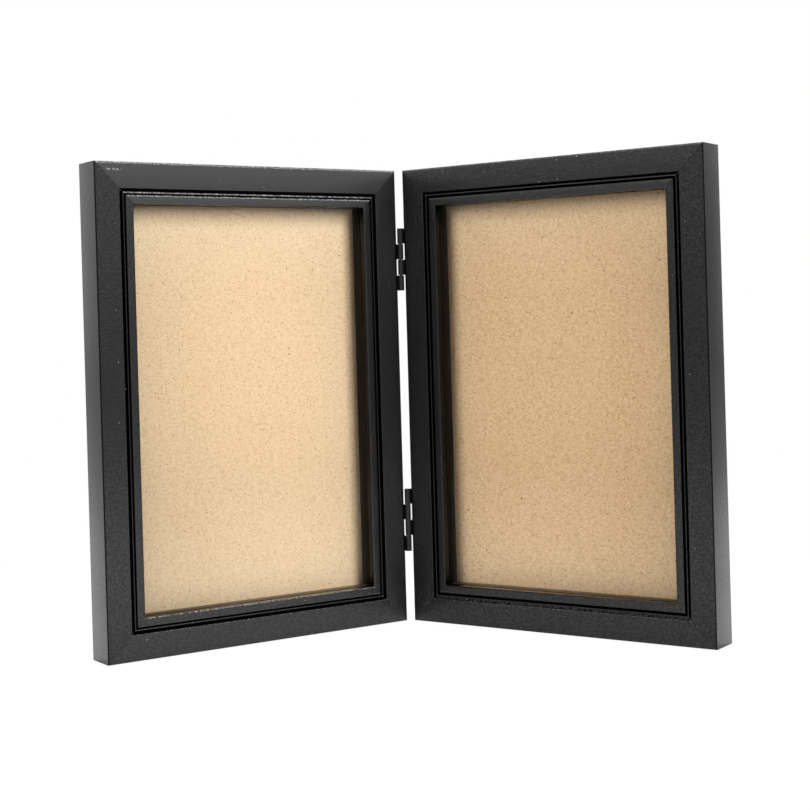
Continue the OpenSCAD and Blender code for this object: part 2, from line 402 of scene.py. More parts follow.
def polyline(name: str, points: Iterable[Sequence[float]], closed: bool) -> Mesh:
    """A mesh of one line.

    Args:
        name: The mesh's name.
        points: Its points, in order.
        closed: Whether the last point joins the first.

    Returns:
        The mesh.
    """
    spots = [tuple(point) for point in points]
    edges = [(i, i + 1) for i in range(len(spots) - 1)]
    if closed:
        edges.append((len(spots) - 1, 0))
    mesh = bpy.data.meshes.new(name)
    mesh.from_pydata(spots, edges, [])
    return mesh


def carry(mesh: Mesh, label: str, values: Sequence[float] | float) -> None:
    """Keeps a number for each vertex under a name, the same for all where only one is given."""
    if not isinstance(values, Sequence):
        values = [float(values)] * len(mesh.vertices)
    mesh.attributes.new(label, "FLOAT", "POINT").data.foreach_set("value", list(values))


def face_outwards(mesh: Mesh) -> None:
    """Turns the faces of a closed mesh outwards."""
    work = bmesh.new()
    work.from_mesh(mesh)
    if work.calc_volume(signed=True) < 0:
        mesh.flip_normals()
    work.free()


def eased_slab(name: str, low: Sequence[float], high: Sequence[float], ease: float) -> Mesh:
    """A flat sheet or strip with its arrises taken off.

    Args:
        name: The mesh's name.
        low: Its lowest corner.
        high: Its highest corner.
        ease: Radius of the arrises.

    Returns:
        The mesh.
    """
    work = bmesh.new()
    bmesh.ops.create_cube(work, size=1.0)
    size, middle = Vector(high) - Vector(low), (Vector(high) + Vector(low)) / 2
    bmesh.ops.scale(work, vec=size, verts=work.verts)
    bmesh.ops.translate(work, vec=middle, verts=work.verts)
    bmesh.ops.bevel(work, geom=work.edges[:], offset=ease, segments=2, profile=0.5, affect="EDGES")
    return made_mesh(name, work)


def made_mesh(name: str, work: Work) -> Mesh:
    """Turns mesh work into a mesh and frees it."""
    mesh = bpy.data.meshes.new(name)
    work.to_mesh(mesh)
    work.free()
    return mesh


def turned_about(axis: str, degrees: float) -> Matrix:
    """A turn about one axis."""
    return Matrix.Rotation(math.radians(degrees), 4, axis)


def mirrored(axis: int) -> Matrix:
    """A mirror image across one axis, counted from 0."""
    return Matrix.Scale(-1, 4, Vector([float(i == axis) for i in range(3)]))


def shifted(x: float, y: float, z: float) -> Matrix:
    """A shift in millimetres."""
    return Matrix.Translation((x, y, z))


@dataclass(frozen=True)
class Half:
    """Sizes of one half that several sub-assemblies share.

    Attributes:
        width: Width of the half.
        height: Height of the half.
        depth: Depth from front face to rear face.
        rear_w: Width of the moulding's rear face, up to the rabbet's wall.
        lip_t: Depth of the back of the lip, on which the pane lies.
    """

    width: float = 127.8
    height: float = 178.6
    depth: float = 13.6
    rear_w: float = 12.2
    lip_t: float = 3.2


HALF = Half()


@dataclass(frozen=True)
class Stance:
    """How the two halves stand on the table.

    Attributes:
        half_turn: Turn of each half away from the flat, in degrees.
        pin_depth: Distance of the pins behind the middle of the footprint.
        pin_front: Distance of the pins in front of the front faces.
        side_gap: Distance from the pins to each half's own side face.
    """

    half_turn: float = 34.15
    pin_depth: float = 29.85461
    pin_front: float = 1.0
    side_gap: float = 1.0

    def place(self, side: Side) -> Matrix:
        """The matrix that takes a half's own millimetres to the shared frame."""
        mirror = mirrored(0) if side is Side.LEFT else Matrix.Identity(4)
        turn, corner = turned_about("Z", -self.half_turn), shifted(self.side_gap, self.pin_front, 0)
        return Matrix.Scale(MM, 4) @ mirror @ shifted(0, self.pin_depth, 0) @ turn @ corner


STANCE = Stance()


def set_piece(
    mesh: Mesh,
    place: Matrix,
    body: str,
    slot: Slot,
    node: str,
    materials: Sequence[Material] = (),
) -> None:
    """Puts a finished mesh in its place and hands it to its body.

    Args:
        mesh: The mesh, whose name becomes the piece's.
        place: The matrix that takes it to the shared frame.
        body: The body that it rides on.
        slot: The record's material slot; not used.
        node: The CAD node that it stands for.
        materials: Its materials, where the mesh has none yet.
    """
    mesh.transform(place)
    face_outwards(mesh)
    for material in materials:
        mesh.materials.append(material)
    mesh.shade_smooth()
    mesh.set_sharp_from_angle(angle=CREASE)
    piece = linked(mesh.name, mesh)
    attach(piece, body)
    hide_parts(node)
    LOG.info("%s: %d faces on %s", piece.name, len(mesh.polygons), body)


def set_on_half(
    mesh: Mesh, side: Side, slot: Slot, name: str, *materials: Material
) -> None:
    """Sets a piece on a half, as the half's CAD node of that name."""
    set_piece(mesh, STANCE.place(side), f"{side.value}_half", slot, f"{side.value}_{name}", materials)


@dataclass(frozen=True)
class BlackWrap:
    """Satin black film round the moulding, with a fine pebble grain.

    Attributes:
        black: Colour of the film.
        rubbed: Colour where the film is rubbed at a mitre.
        bare: Colour of scuffs, dust and the chafed spot, the scuffs being partly painted highlights.
        pebble: Width of the pebble grain in millimetres.
        channel: Span of the channel from the outer edge in millimetres.
        wall_at: Distance of the sight edge's wall from the outer edge.
        chafe_at: Place of the chafed spot from the mitre and from the outer edge.
    """

    black: Colour = (0.005, 0.005, 0.0052, 1.0)
    rubbed: Colour = (0.085, 0.085, 0.087, 1.0)
    bare: Colour = (0.42, 0.42, 0.41, 1.0)
    pebble: float = 0.8
    channel: Point = (9.5, 12.0)
    wall_at: float = 15.0
    chafe_at: Point = (4.6, 2.7)

    def make(self) -> Material:
        """Builds the material."""
        paint = Paint("Black film wrap")
        at = paint.place()
        start, end, across, depth, around, upright, dulled = map(
            paint.attribute, ("from_start", "from_end", "across", "depth", "around", "upright", "dulled")
        )
        cloud = paint.noise(at, 9.0, 3.0)
        grain = paint.noise(at, self.pebble, 2.0, 0.6)
        streak = paint.noise(paint.vector(start * 0.03, around * 1.6), 1.0, 3.0, 0.6)
        flank = 1 - across.ramp(0.0, 0.3)
        rear = depth.ramp(HALF.depth - 0.5, HALF.depth - 0.2)
        breaks = paint.noise(paint.vector(across, depth, start.ramp(0, 40) * 30), 1.3, 2.0, 0.7)
        # Film rubbed off at the mitres, and dust on the front.
        seam = 1 - start.least(end).ramp(0.05, 0.32)
        rub = seam * breaks.ramp(0.5, 0.66) * (1 - rear)
        dust = paint.specks(at, 2.2, 0.2, 0.22) * (1 - flank) * (1 - rear)
        # Painted shade in the channel and on the sight edge, which the lamps alone leave too light, deeper on
        # the stiles, whose outer arris is painted dark as well.
        low, high = self.channel
        inside = across.ramp(low - 0.05, low + 0.1) * (1 - across.ramp(high - 0.1, high + 0.05))
        inside = inside * (1 - depth.ramp(1.2, 1.5))
        gaps = paint.noise(paint.vector(start * 0.8, across * 0.5), 1.0, 2.0, 0.6).ramp(0.44, 0.54)
        filled = paint.attribute("filled") * (1 - across.ramp(low + 0.85, low + 1.0)) * gaps
        groove = inside * depth.ramp(0.34, 0.55) * (1 - filled * 0.85)
        wall = across.ramp(self.wall_at - 0.2, self.wall_at - 0.05) * depth.ramp(0.7, 1.2)
        arris = (1 - across.ramp(0.3, 0.6)) * (1 - depth.ramp(0.3, 0.6))
        dark = groove.most(arris * upright * 0.85).most(inside * upright * 0.55).most(wall * upright * 0.8)
        # Painted light by length where the value is below 0, painted shade by length above 0, less on the
        # side faces and with some grain.
        painted_light = (dulled * -1).most(0.0) * (1 - rear) * (1 - flank)
        dulled = dulled * (1 - flank * 0.5) + (grain.ramp(0.36, 0.64) - 0.45) * 0.3
        # The black metallic dims the film's reflection, as painted shade.
        dull = dark.most(dulled * (1 - rear)).most(0.0)
        # The side faces are painted lighter, as painted light from the floor, with streaks of their own.
        shade = 0.86 + cloud * 0.28 + ((streak - 0.5) * 0.9 + 1.0) * flank + (grain - 0.5) * 2.2
        colour = paint.tone(self.black, (shade + rear * 0.5 + painted_light * 8) * (1 - dark * 0.9))
        # Scuffs along the arrises, bead and lip, partly worn film and partly painted highlights, and the
        # chafed spot at the left top rail's end.
        scuff_and_highlight_spots = paint.noise(paint.vector(start * 1.4, around * 2.0), 1.0, 3.0, 0.7)
        scuff_and_highlight = paint.attribute("wear").ramp(0.2, 0.9) * scuff_and_highlight_spots.ramp(0.46, 0.62)
        colour = paint.mix(colour, self.rubbed, rub)
        chafe_end, chafe_across = self.chafe_at
        chafe = (1 - abs(end - chafe_end).ramp(1.6, 3.4)) * (1 - abs(across - chafe_across).ramp(0.2, 0.8))
        chafe = chafe * (1 - depth.ramp(0.2, 0.4))
        chafe = chafe * paint.attribute("chafed") * breaks.ramp(0.5, 0.62) * grain.ramp(0.48, 0.56)
        colour = paint.mix(colour, self.bare, scuff_and_highlight.most(dust).most(chafe))
        roughness = 0.2 + (cloud - 0.5) * 0.06 + (grain - 0.5) * 0.12 + (streak - 0.5) * flank * 0.14
        roughness = roughness + rear * 0.28 + rub * 0.15
        fibre = paint.noise(paint.stretched(at, (1, 1, 0.4)), 0.6, 4.0, 0.7)
        height = grain * (1 - rear) + fibre * rear
        return paint.coat(
            Base_Color=colour,
            Roughness=roughness,
            Metallic=dull,
            Specular_IOR_Level=1.0,
            Normal=paint.bump(height, 0.05, 1.0),
        )


@dataclass(frozen=True)
class Hardboard:
    """Smooth tan hardboard with fine fibres and a few dark specks.

    Attributes:
        tan: Main colour.
        pale: Colour of the pale fibres.
        brown: Colour of the brown mottling.
        speck: Colour of the dark specks.
        faded: Colour towards which a board is painted paler, as painted light.
        middle: Height of a board's middle, from which its ends are painted paler and lighter, as painted
            light.
        mesh: Fineness of the press screen's weave, in radians a millimetre.
    """

    tan: Colour = (0.71, 0.48, 0.28, 1.0)
    pale: Colour = (0.84, 0.64, 0.43, 1.0)
    brown: Colour = (0.52, 0.31, 0.15, 1.0)
    speck: Colour = (0.25, 0.1, 0.035, 1.0)
    faded: Colour = (0.8, 0.68, 0.52, 1.0)
    middle: float = 89.3
    mesh: float = 5.2

    def make(self) -> Material:
        """Builds the smooth face's material."""
        paint = Paint("Tan hardboard")
        at = paint.place()
        cloud = paint.noise(at, 42.0, 2.0, 0.5)
        mottle = paint.noise(at, 1.5, 4.0, 0.72)
        fibre = paint.noise(paint.stretched(at, (0.55, 0.55, 2.2)), 0.7, 3.0, 0.7)
        cross = paint.noise(paint.stretched(at, (2.2, 2.2, 0.55)), 0.8, 3.0, 0.7)
        patches = mottle.ramp(0.49, 0.62) * 0.55 + cloud.ramp(0.45, 0.6) * 0.06
        colour = paint.mix(self.tan, self.brown, patches)
        colour = paint.mix(colour, self.pale, fibre.ramp(0.47, 0.58) * 0.68)
        colour = paint.mix(colour, self.brown, cross.ramp(0.52, 0.63) * 0.45)
        small = paint.specks(at, 0.85, 0.27, 0.6)
        large = paint.specks(paint.stretched(at, (1, 1, 1.6)), 3.4, 0.5, 0.27)
        level = paint.part(at, "Z")
        # Painted light: the boards are painted paler and lighter towards their top and bottom ends, and the
        # left board paler all over.
        low, high = (self.middle - level).ramp(25.0, 75.0), (level - self.middle).ramp(35.0, 78.0)
        colour = paint.mix(colour, self.faded, paint.attribute("fading") + (low + high) * 0.12)
        colour = paint.tone(colour, 1 + low * 0.2 + high * 0.13)
        colour = paint.mix(colour, self.speck, small * 0.7 + large * 0.85)
        return paint.coat(
            Base_Color=colour,
            Roughness=0.7 + (mottle - 0.5) * 0.2,
            Specular_IOR_Level=0.08,
            Normal=paint.bump(mottle + fibre, 0.03, 0.5),
        )

    def make_screened(self) -> Material:
        """Builds the rear's material, with the imprint of the press screen."""
        paint = Paint("Screened hardboard")
        at = paint.place()
        along = paint.attribute("along")
        up = paint.part(at, "Z")
        screen = (up * self.mesh).sine() * (along * self.mesh).sine() * 0.5 + 0.5
        mottle = paint.noise(at, 2.2, 4.0, 0.7)
        cloud = paint.noise(at, 30.0, 2.0)
        colour = paint.mix(self.tan, self.brown, 0.35 + mottle.ramp(0.35, 0.75) * 0.5)
        colour = paint.tone(colour, 0.62 + screen * 0.16 + cloud * 0.12)
        return paint.coat(
            Base_Color=colour,
            Roughness=0.8 - screen * 0.1,
            Specular_IOR_Level=0.2,
            Normal=paint.bump(screen + mottle * 0.6, 0.16, 0.7),
        )


@dataclass(frozen=True)
class PaneGlass:
    """Clear picture glass, thin enough to leave what lies behind it in place.

    Attributes:
        tint: What passes one face of the pane.
        index: Refractive index.
    """

    tint: Colour = (0.985, 0.99, 0.98, 1.0)
    index: float = 1.5

    def make(self) -> Material:
        """Builds the material."""
        paint = Paint("Picture glass")
        at = paint.place()
        smear = paint.noise(paint.stretched(at, (1, 1, 0.6)), 18.0, 3.0, 0.6)
        clear = paint.node("ShaderNodeBsdfTransparent", feeds={"Color": self.tint})
        shine = paint.shader(
            Base_Color=(0.9, 0.9, 0.9, 1.0),
            Metallic=1.0,
            Roughness=0.03 + smear.ramp(0.5, 0.75) * 0.05,
        )
        fresnel = paint.node("ShaderNodeFresnel", feeds={"IOR": self.index})
        gloss = (fresnel * fresnel * 5.8).least(0.9)
        surface = paint.node("ShaderNodeMixShader", feeds={0: gloss, 1: clear, 2: shine})
        return paint.finish(surface)


@dataclass(frozen=True)
class BlackCard:
    """Black lining on the spacer strips, painted brown on what faces up, partly dust and partly a painted
    reflection of the tan board.

    Attributes:
        black: Its colour.
        dust: Colour on what faces up, partly dust and partly a painted reflection of the tan board.
    """

    black: Colour = (0.008, 0.0068, 0.005, 1.0)
    dust: Colour = (0.1, 0.08, 0.05, 1.0)

    def make(self) -> Material:
        """Builds the material."""
        paint = Paint("Black lining")
        at = paint.place()
        cloud, grain = paint.noise(at, 5.0, 3.0), paint.noise(at, 0.4, 3.0, 0.65)
        facing = paint.node("ShaderNodeNewGeometry", out="Normal")
        # What faces up is painted brown: partly dust, partly a painted reflection of the tan board.
        up = paint.part(facing, "Z").ramp(0.4, 0.95)
        card = paint.tone(self.black, 0.7 + cloud * 0.6)
        return paint.coat(
            Base_Color=paint.mix(card, self.dust, up * (0.7 + grain * 0.4)),
            Roughness=0.26 + grain * 0.16,
            Specular_IOR_Level=0.14,
            Normal=paint.bump(grain, 0.02, 0.4),
        )


@dataclass(frozen=True)
class HingePaint:
    """Black baked paint on the hinges.

    Attributes:
        black: Colour of the paint.
        steel: Colour where it is worn.
    """

    black: Colour = (0.006, 0.006, 0.0062, 1.0)
    steel: Colour = (0.16, 0.16, 0.16, 1.0)

    def make(self) -> Material:
        """Builds the material."""
        paint = Paint("Black hinge paint")
        at = paint.place()
        grain, cloud = paint.noise(at, 0.28, 3.0, 0.6), paint.noise(at, 2.0, 3.0, 0.6)
        worn = cloud.ramp(0.66, 0.74) * grain.ramp(0.5, 0.6) * 0.5
        return paint.coat(
            Base_Color=paint.mix(paint.tone(self.black, 0.8 + cloud * 0.4), self.steel, worn),
            Roughness=0.3 + grain * 0.12,
            Metallic=worn.most(0.25),
            Specular_IOR_Level=0.5,
            Normal=paint.bump(grain, 0.015, 0.4),
        )


@dataclass(frozen=True)
class BrightSteel:
    """Zinc plated steel of the screws, turn buttons and V nails.

    Attributes:
        zinc: Colour of the plating.
        dull: Colour of the duller patches.
    """

    zinc: Colour = (0.66, 0.66, 0.65, 1.0)
    dull: Colour = (0.46, 0.46, 0.44, 1.0)

    def make(self) -> Material:
        """Builds the material."""
        paint = Paint("Zinc plated steel")
        at = paint.place()
        cloud, scratch = paint.noise(at, 2.4, 3.0, 0.6), paint.noise(paint.stretched(at, (1, 1, 9)), 1.2, 2.0)
        spangle = paint.noise(at, 0.5, 3.0, 0.7)
        return paint.coat(
            Base_Color=paint.mix(self.zinc, self.dull, cloud.ramp(0.45, 0.7)),
            Metallic=1.0,
            Roughness=0.28 + cloud * 0.14 + (scratch - 0.5) * 0.2,
            Normal=paint.bump(spangle + scratch, 0.012, 0.35),
        )


@dataclass
class Finishes:
    """One material of each kind, shared by the pieces.

    Attributes:
        wrap: Film on the mouldings.
        board: The boards' smooth face.
        screened: The boards' rear.
        glass: Picture glass.
        lining: Black card on the spacer strips.
        hinge: Black paint on the hinges and their screws.
        steel: Zinc plated steel.
    """

    wrap: Material = field(default_factory=BlackWrap().make)
    board: Material = field(default_factory=Hardboard().make)
    screened: Material = field(default_factory=Hardboard().make_screened)
    glass: Material = field(default_factory=PaneGlass().make)
    lining: Material = field(default_factory=BlackCard().make)
    hinge: Material = field(default_factory=HingePaint().make)
    steel: Material = field(default_factory=BrightSteel().make)


@dataclass
class Moulding:
    """The black moulding with its bead, mitred round each half.

    Attributes:
        finishes: The materials.
        width: Width of the moulding's front.
        outer_round: Radius of the outer front arris.
        channel_at: Distance from the outer edge to the channel.
        channel_w: Width of the channel.
        channel_d: Depth of the channel.
        channel_round: Radius of the channel's arrises.
        bead_w: Width of the bead.
        bead_drop: How far the bead's top lies behind the face.
        bead_shift: How far the bead lies from the channel's middle in each half.
        lip_drop: How far the lip face lies behind the outer face.
        lip_round: Radius of the lip's arris.
        lip_flat: Depth of the flat on the sight edge, next to the lip's arris.
        rear_round: Radius of the rear arrises.
        mitre_ease: Depth of the fine groove that a mitre shows.
        scuff_w: Width in which a scuffed arris, partly a painted highlight, fades into the face.
        dulled: How far the film on each length is painted darker, as painted shade, below 0 where it is
            painted lighter, as painted light.
    """

    finishes: Finishes
    width: float = 15.0
    outer_round: float = 0.5
    channel_at: float = 9.5
    channel_w: float = 2.4
    channel_d: float = 0.9
    channel_round: float = 0.2
    bead_w: float = 0.6
    bead_drop: float = 0.3
    bead_shift: dict[Side, float] = field(default_factory=lambda: {Side.LEFT: 0.3, Side.RIGHT: 0.0})
    lip_drop: float = 0.3
    lip_round: float = 0.5
    lip_flat: float = 0.3
    rear_round: float = 0.2
    mitre_ease: float = 0.07
    scuff_w: float = 0.55
    # Painted shade by length, darkest on the hinge stiles, and painted light on the left top rail below 0.
    dulled: dict[Side, dict[Edge, float]] = field(
        default_factory=lambda: {
            Side.LEFT: {Edge.TOP: -0.25, Edge.BOTTOM: 0.26, Edge.OUTER: 0.34, Edge.HINGE: 0.4},
            Side.RIGHT: {Edge.TOP: 0.34, Edge.BOTTOM: 0.5, Edge.OUTER: 0.52, Edge.HINGE: 0.6},
        }
    )

    def section(self, side: Side) -> list[Point]:
        """The section as distances from the outer edge and from the front face."""
        rear, fine, bead = self.rear_round, self.channel_round, self.bead_w / 2
        inner = self.channel_at + self.channel_w
        middle = self.channel_at + self.channel_w / 2 + self.bead_shift[side]
        crown = self.bead_drop + bead
        return [
            *arc((rear, HALF.depth - rear), rear, 90, 180, 4),
            *arc((self.outer_round, self.outer_round), self.outer_round, 180, 270, 8),
            (self.outer_round + self.scuff_w, 0.0),
            *arc((self.channel_at - fine, fine), fine, 270, 360, 4),
            (self.channel_at, self.channel_d),
            (middle - bead, self.channel_d),
            *arc((middle, crown), bead, 180, 360, 16),
            (middle + bead, self.channel_d),
            (inner, self.channel_d),
            *arc((inner + fine, self.lip_drop + fine), fine, 180, 270, 4),
            (inner + fine + self.scuff_w, self.lip_drop),
            *arc((self.width - self.lip_round, self.lip_drop + self.lip_round), self.lip_round, 270, 360, 6),
            (self.width, self.lip_drop + self.lip_round + self.lip_flat),
            (self.width, HALF.lip_t),
            (HALF.rear_w, HALF.lip_t),
            *arc((HALF.rear_w - rear, HALF.depth - rear), rear, 0, 90, 4),
        ]

    def eased(self, section: list[Point]) -> list[Point]:
        """The section drawn in by the mitre ease."""
        eased = []
        for i, (x, y) in enumerate(section):
            before, after = Vector(section[i - 1]), Vector(section[(i + 1) % len(section)])
            here = Vector((x, y))
            first, second = (here - before).normalized(), (after - here).normalized()
            inward = Vector((-first.y - second.y, first.x + second.x))
            reach = self.mitre_ease * 2 / max(inward.length_squared, 1.0)
            eased.append(tuple(here + inward * reach))
        return eased

    def wear(self, side: Side, edge: Edge, across: float, depth: float) -> float:
        """How far the film is scuffed at a point of the section, 0 to 1, partly as a painted highlight."""
        left = side is Side.LEFT
        middle = self.channel_at + self.channel_w / 2 + self.bead_shift[side]
        on_arris = across < self.outer_round * 1.01 and depth < self.outer_round * 0.8
        on_bead = abs(across - middle) < self.bead_w * 0.45 and depth < self.bead_drop + 0.15
        on_channel = abs(across - self.channel_at) < 0.16 and depth < 0.15
        inner = self.channel_at + self.channel_w
        on_inner = inner <= across < inner + 0.22 and depth < self.lip_drop + 0.25
        on_lip = across > self.width - 0.28 and depth < 1.0
        if edge is Edge.TOP:
            return max(on_arris * (1.0 if left else 0.5), on_bead * float(left), on_inner * 0.95 * left)
        if edge is Edge.BOTTOM:
            return max(on_lip * float(left), on_channel * 0.6)
        return 0.0

    def blank(self, name: str, side: Side, edge: Edge) -> Mesh:
        """The section as a closed line that carries its measures."""
        section = self.section(side)
        mesh = polyline(name, [(x, y, 0) for x, y in section], True)
        lengths = [0.0]
        for before, after in zip(section, section[1:]):
            lengths.append(lengths[-1] + math.dist(before, after))
        (across, depth), (eased_across, eased_depth) = zip(*section), zip(*self.eased(section))
        measures = {
            "across": across,
            "depth": depth,
            "eased_across": eased_across,
            "eased_depth": eased_depth,
            "around": lengths,
            # scuffs, partly painted highlights
            "wear": [self.wear(side, edge, x, y) for x, y in section],
            "chafed": side is Side.LEFT and edge is Edge.TOP,
            "filled": side is Side.RIGHT and edge is Edge.BOTTOM,
            # painted light and shade by length
            "dulled": self.dulled[side][edge],
            "upright": not edge.level,
        }
        for label, values in measures.items():
            carry(mesh, label, values)
        return mesh

    def jig(self) -> Jig:
        """The tree that runs the section between two mitres."""
        jig = Jig("Mitred moulding run", {"Length": "NodeSocketFloat", "Ease": "NodeSocketFloat"})
        section = jig.node("GeometryNodeMeshToCurve", feeds={"Mesh": jig.start})
        line = jig.node("GeometryNodeCurvePrimitiveLine", feeds={"End": (0.0, 0.0, 3.0)})
        rings = jig.node("GeometryNodeResampleCurve", feeds={"Curve": line, "Count": 4})
        rings = jig.store(rings, "ring", jig.node("GeometryNodeInputIndex"))
        feeds = {"Curve": rings, "Profile Curve": section, "Fill Caps": True}
        run = jig.node("GeometryNodeCurveToMesh", feeds=feeds)
        ring, length = jig.carried("ring"), jig.given("Length")
        end = abs(ring - 1.5) - 0.5
        across = jig.carried("across")
        cut_across = across + (jig.carried("eased_across") - across) * end
        depth = jig.carried("depth")
        cut_depth = depth + (jig.carried("eased_depth") - depth) * end
        inset = cut_across + jig.given("Ease") * (1 - end)
        far = ring.above(1.5)
        spot = inset + (length - inset * 2) * far
        run = jig.store(run, "from_start", spot - cut_across)
        run = jig.store(run, "from_end", length - cut_across - spot)
        jig.close(jig.moved(run, spot, cut_depth, cut_across))
        return jig

    def placed(self, edge: Edge) -> Matrix:
        """The matrix that lays a run, drawn as the bottom rail, on its edge of the half."""
        swap = Matrix(((0, 0, 1, 0), (0, 1, 0, 0), (1, 0, 0, 0), (0, 0, 0, 1)))
        return {
            Edge.BOTTOM: Matrix.Identity(4),
            Edge.TOP: shifted(0, 0, HALF.height) @ mirrored(2),
            Edge.HINGE: swap,
            Edge.OUTER: shifted(HALF.width, 0, 0) @ mirrored(0) @ swap,
        }[edge]

    def build(self) -> None:
        """Makes the eight runs."""
        jig = self.jig()
        for side in Side:
            for edge in Edge:
                values = {
                    "Length": HALF.width if edge.level else HALF.height,
                    "Ease": self.mitre_ease,
                    "Material": self.finishes.wrap,
                }
                mesh = jig.shape(self.blank(f"blank_{edge.run}", side, edge), values)
                mesh.name = f"moulding_{side.value}_{edge.run}"
                place = STANCE.place(side) @ self.placed(edge)
                node = f"{side.value}_{edge.run}"
                set_piece(mesh, place, f"{side.value}_half", Slot.MOULDING, node)


@dataclass
class Filling:
    """Glass pane, spacer strips and backboard of each half.

    Attributes:
        finishes: The materials.
        pane_t: Thickness of the pane.
        board_y: Depth of the board's front face.
        board_t: Thickness of the board.
        spacer_t: Thickness of the level spacer strips.
        side_spacer_t: Thickness of the upright spacer strips.
        play: Gap between a sheet and the rabbet's wall.
        pane_ease: Radius of the pane's arrises.
        board_ease: Radius of the board's arrises.
        strip_ease: Radius of the strips' arrises.
        fading: How far each board's face is painted paler, as painted light.
    """

    finishes: Finishes
    pane_t: float = 2.0
    board_y: float = 10.2
    board_t: float = 3.2
    spacer_t: float = 2.7
    side_spacer_t: float = 1.9
    play: float = 0.4
    pane_ease: float = 0.15
    board_ease: float = 0.2
    strip_ease: float = 0.12
    fading: dict[Side, float] = field(default_factory=lambda: {Side.LEFT: 0.28, Side.RIGHT: 0.0})

    def sheet(self, name: str, front: float, thick: float, ease: float) -> Mesh:
        """A sheet that lies in the rabbet."""
        wall = HALF.rear_w + self.play
        low, high = (wall, front, wall), (HALF.width - wall, front + thick, HALF.height - wall)
        return eased_slab(name, low, high, ease)

    def strip(self, name: str, edge: Edge) -> Mesh:
        """A spacer strip along one edge of the rabbet."""
        near, thick, side = HALF.rear_w, self.spacer_t, self.side_spacer_t
        far_x, far_z = HALF.width - near, HALF.height - near
        x = {Edge.HINGE: (near, near + side), Edge.OUTER: (far_x - side, far_x)}.get(edge, (near, far_x))
        z = {Edge.BOTTOM: (near, near + thick), Edge.TOP: (far_z - thick, far_z)}
        upright = (near + thick, far_z - thick)
        low_z, high_z = z.get(edge, upright)
        front = HALF.lip_t + self.pane_t
        return eased_slab(name, (x[0], front, low_z), (x[1], self.board_y, high_z), self.strip_ease)

    def build(self) -> None:
        """Makes the panes, boards and strips of both halves."""
        for side in Side:
            pane = self.sheet(f"glass_{side.value}", HALF.lip_t, self.pane_t, self.pane_ease)
            set_on_half(pane, side, Slot.GLASS, "pane", self.finishes.glass)
            board = self.sheet(f"board_{side.value}", self.board_y, self.board_t, self.board_ease)
            carry(board, "along", [vertex.co.x for vertex in board.vertices])
            # The left board is painted paler, as painted light.
            carry(board, "fading", self.fading[side])
            rear = [face.index for face in board.polygons if face.normal.y > 0.9]
            finishes = self.finishes.board, self.finishes.screened
            set_on_half(board, side, Slot.HARDBOARD, "backboard", *finishes)
            for index in rear:
                board.polygons[index].material_index = 1
            for edge in Edge:
                strip = self.strip(f"spacer_{side.value}_{edge.value}", edge)
                set_on_half(strip, side, Slot.SPACER, f"{edge.value}_spacer", self.finishes.lining)


@dataclass(frozen=True)
class Cut:
    """Thread and cross recess of a turned piece.

    Attributes:
        pitch: Pitch of the thread.
        thread: Depth of the thread as a share of the radius, 0 for none.
        top: Height of the head's crown.
        span: Length of the recess, 0 for none.
        width: Width of the recess.
        depth: Depth of the recess under the crown.
    """

    pitch: float = 1.0
    thread: float = 0.0
    top: float = 0.0
    span: float = 0.0
    width: float = 0.0
    depth: float = 0.0


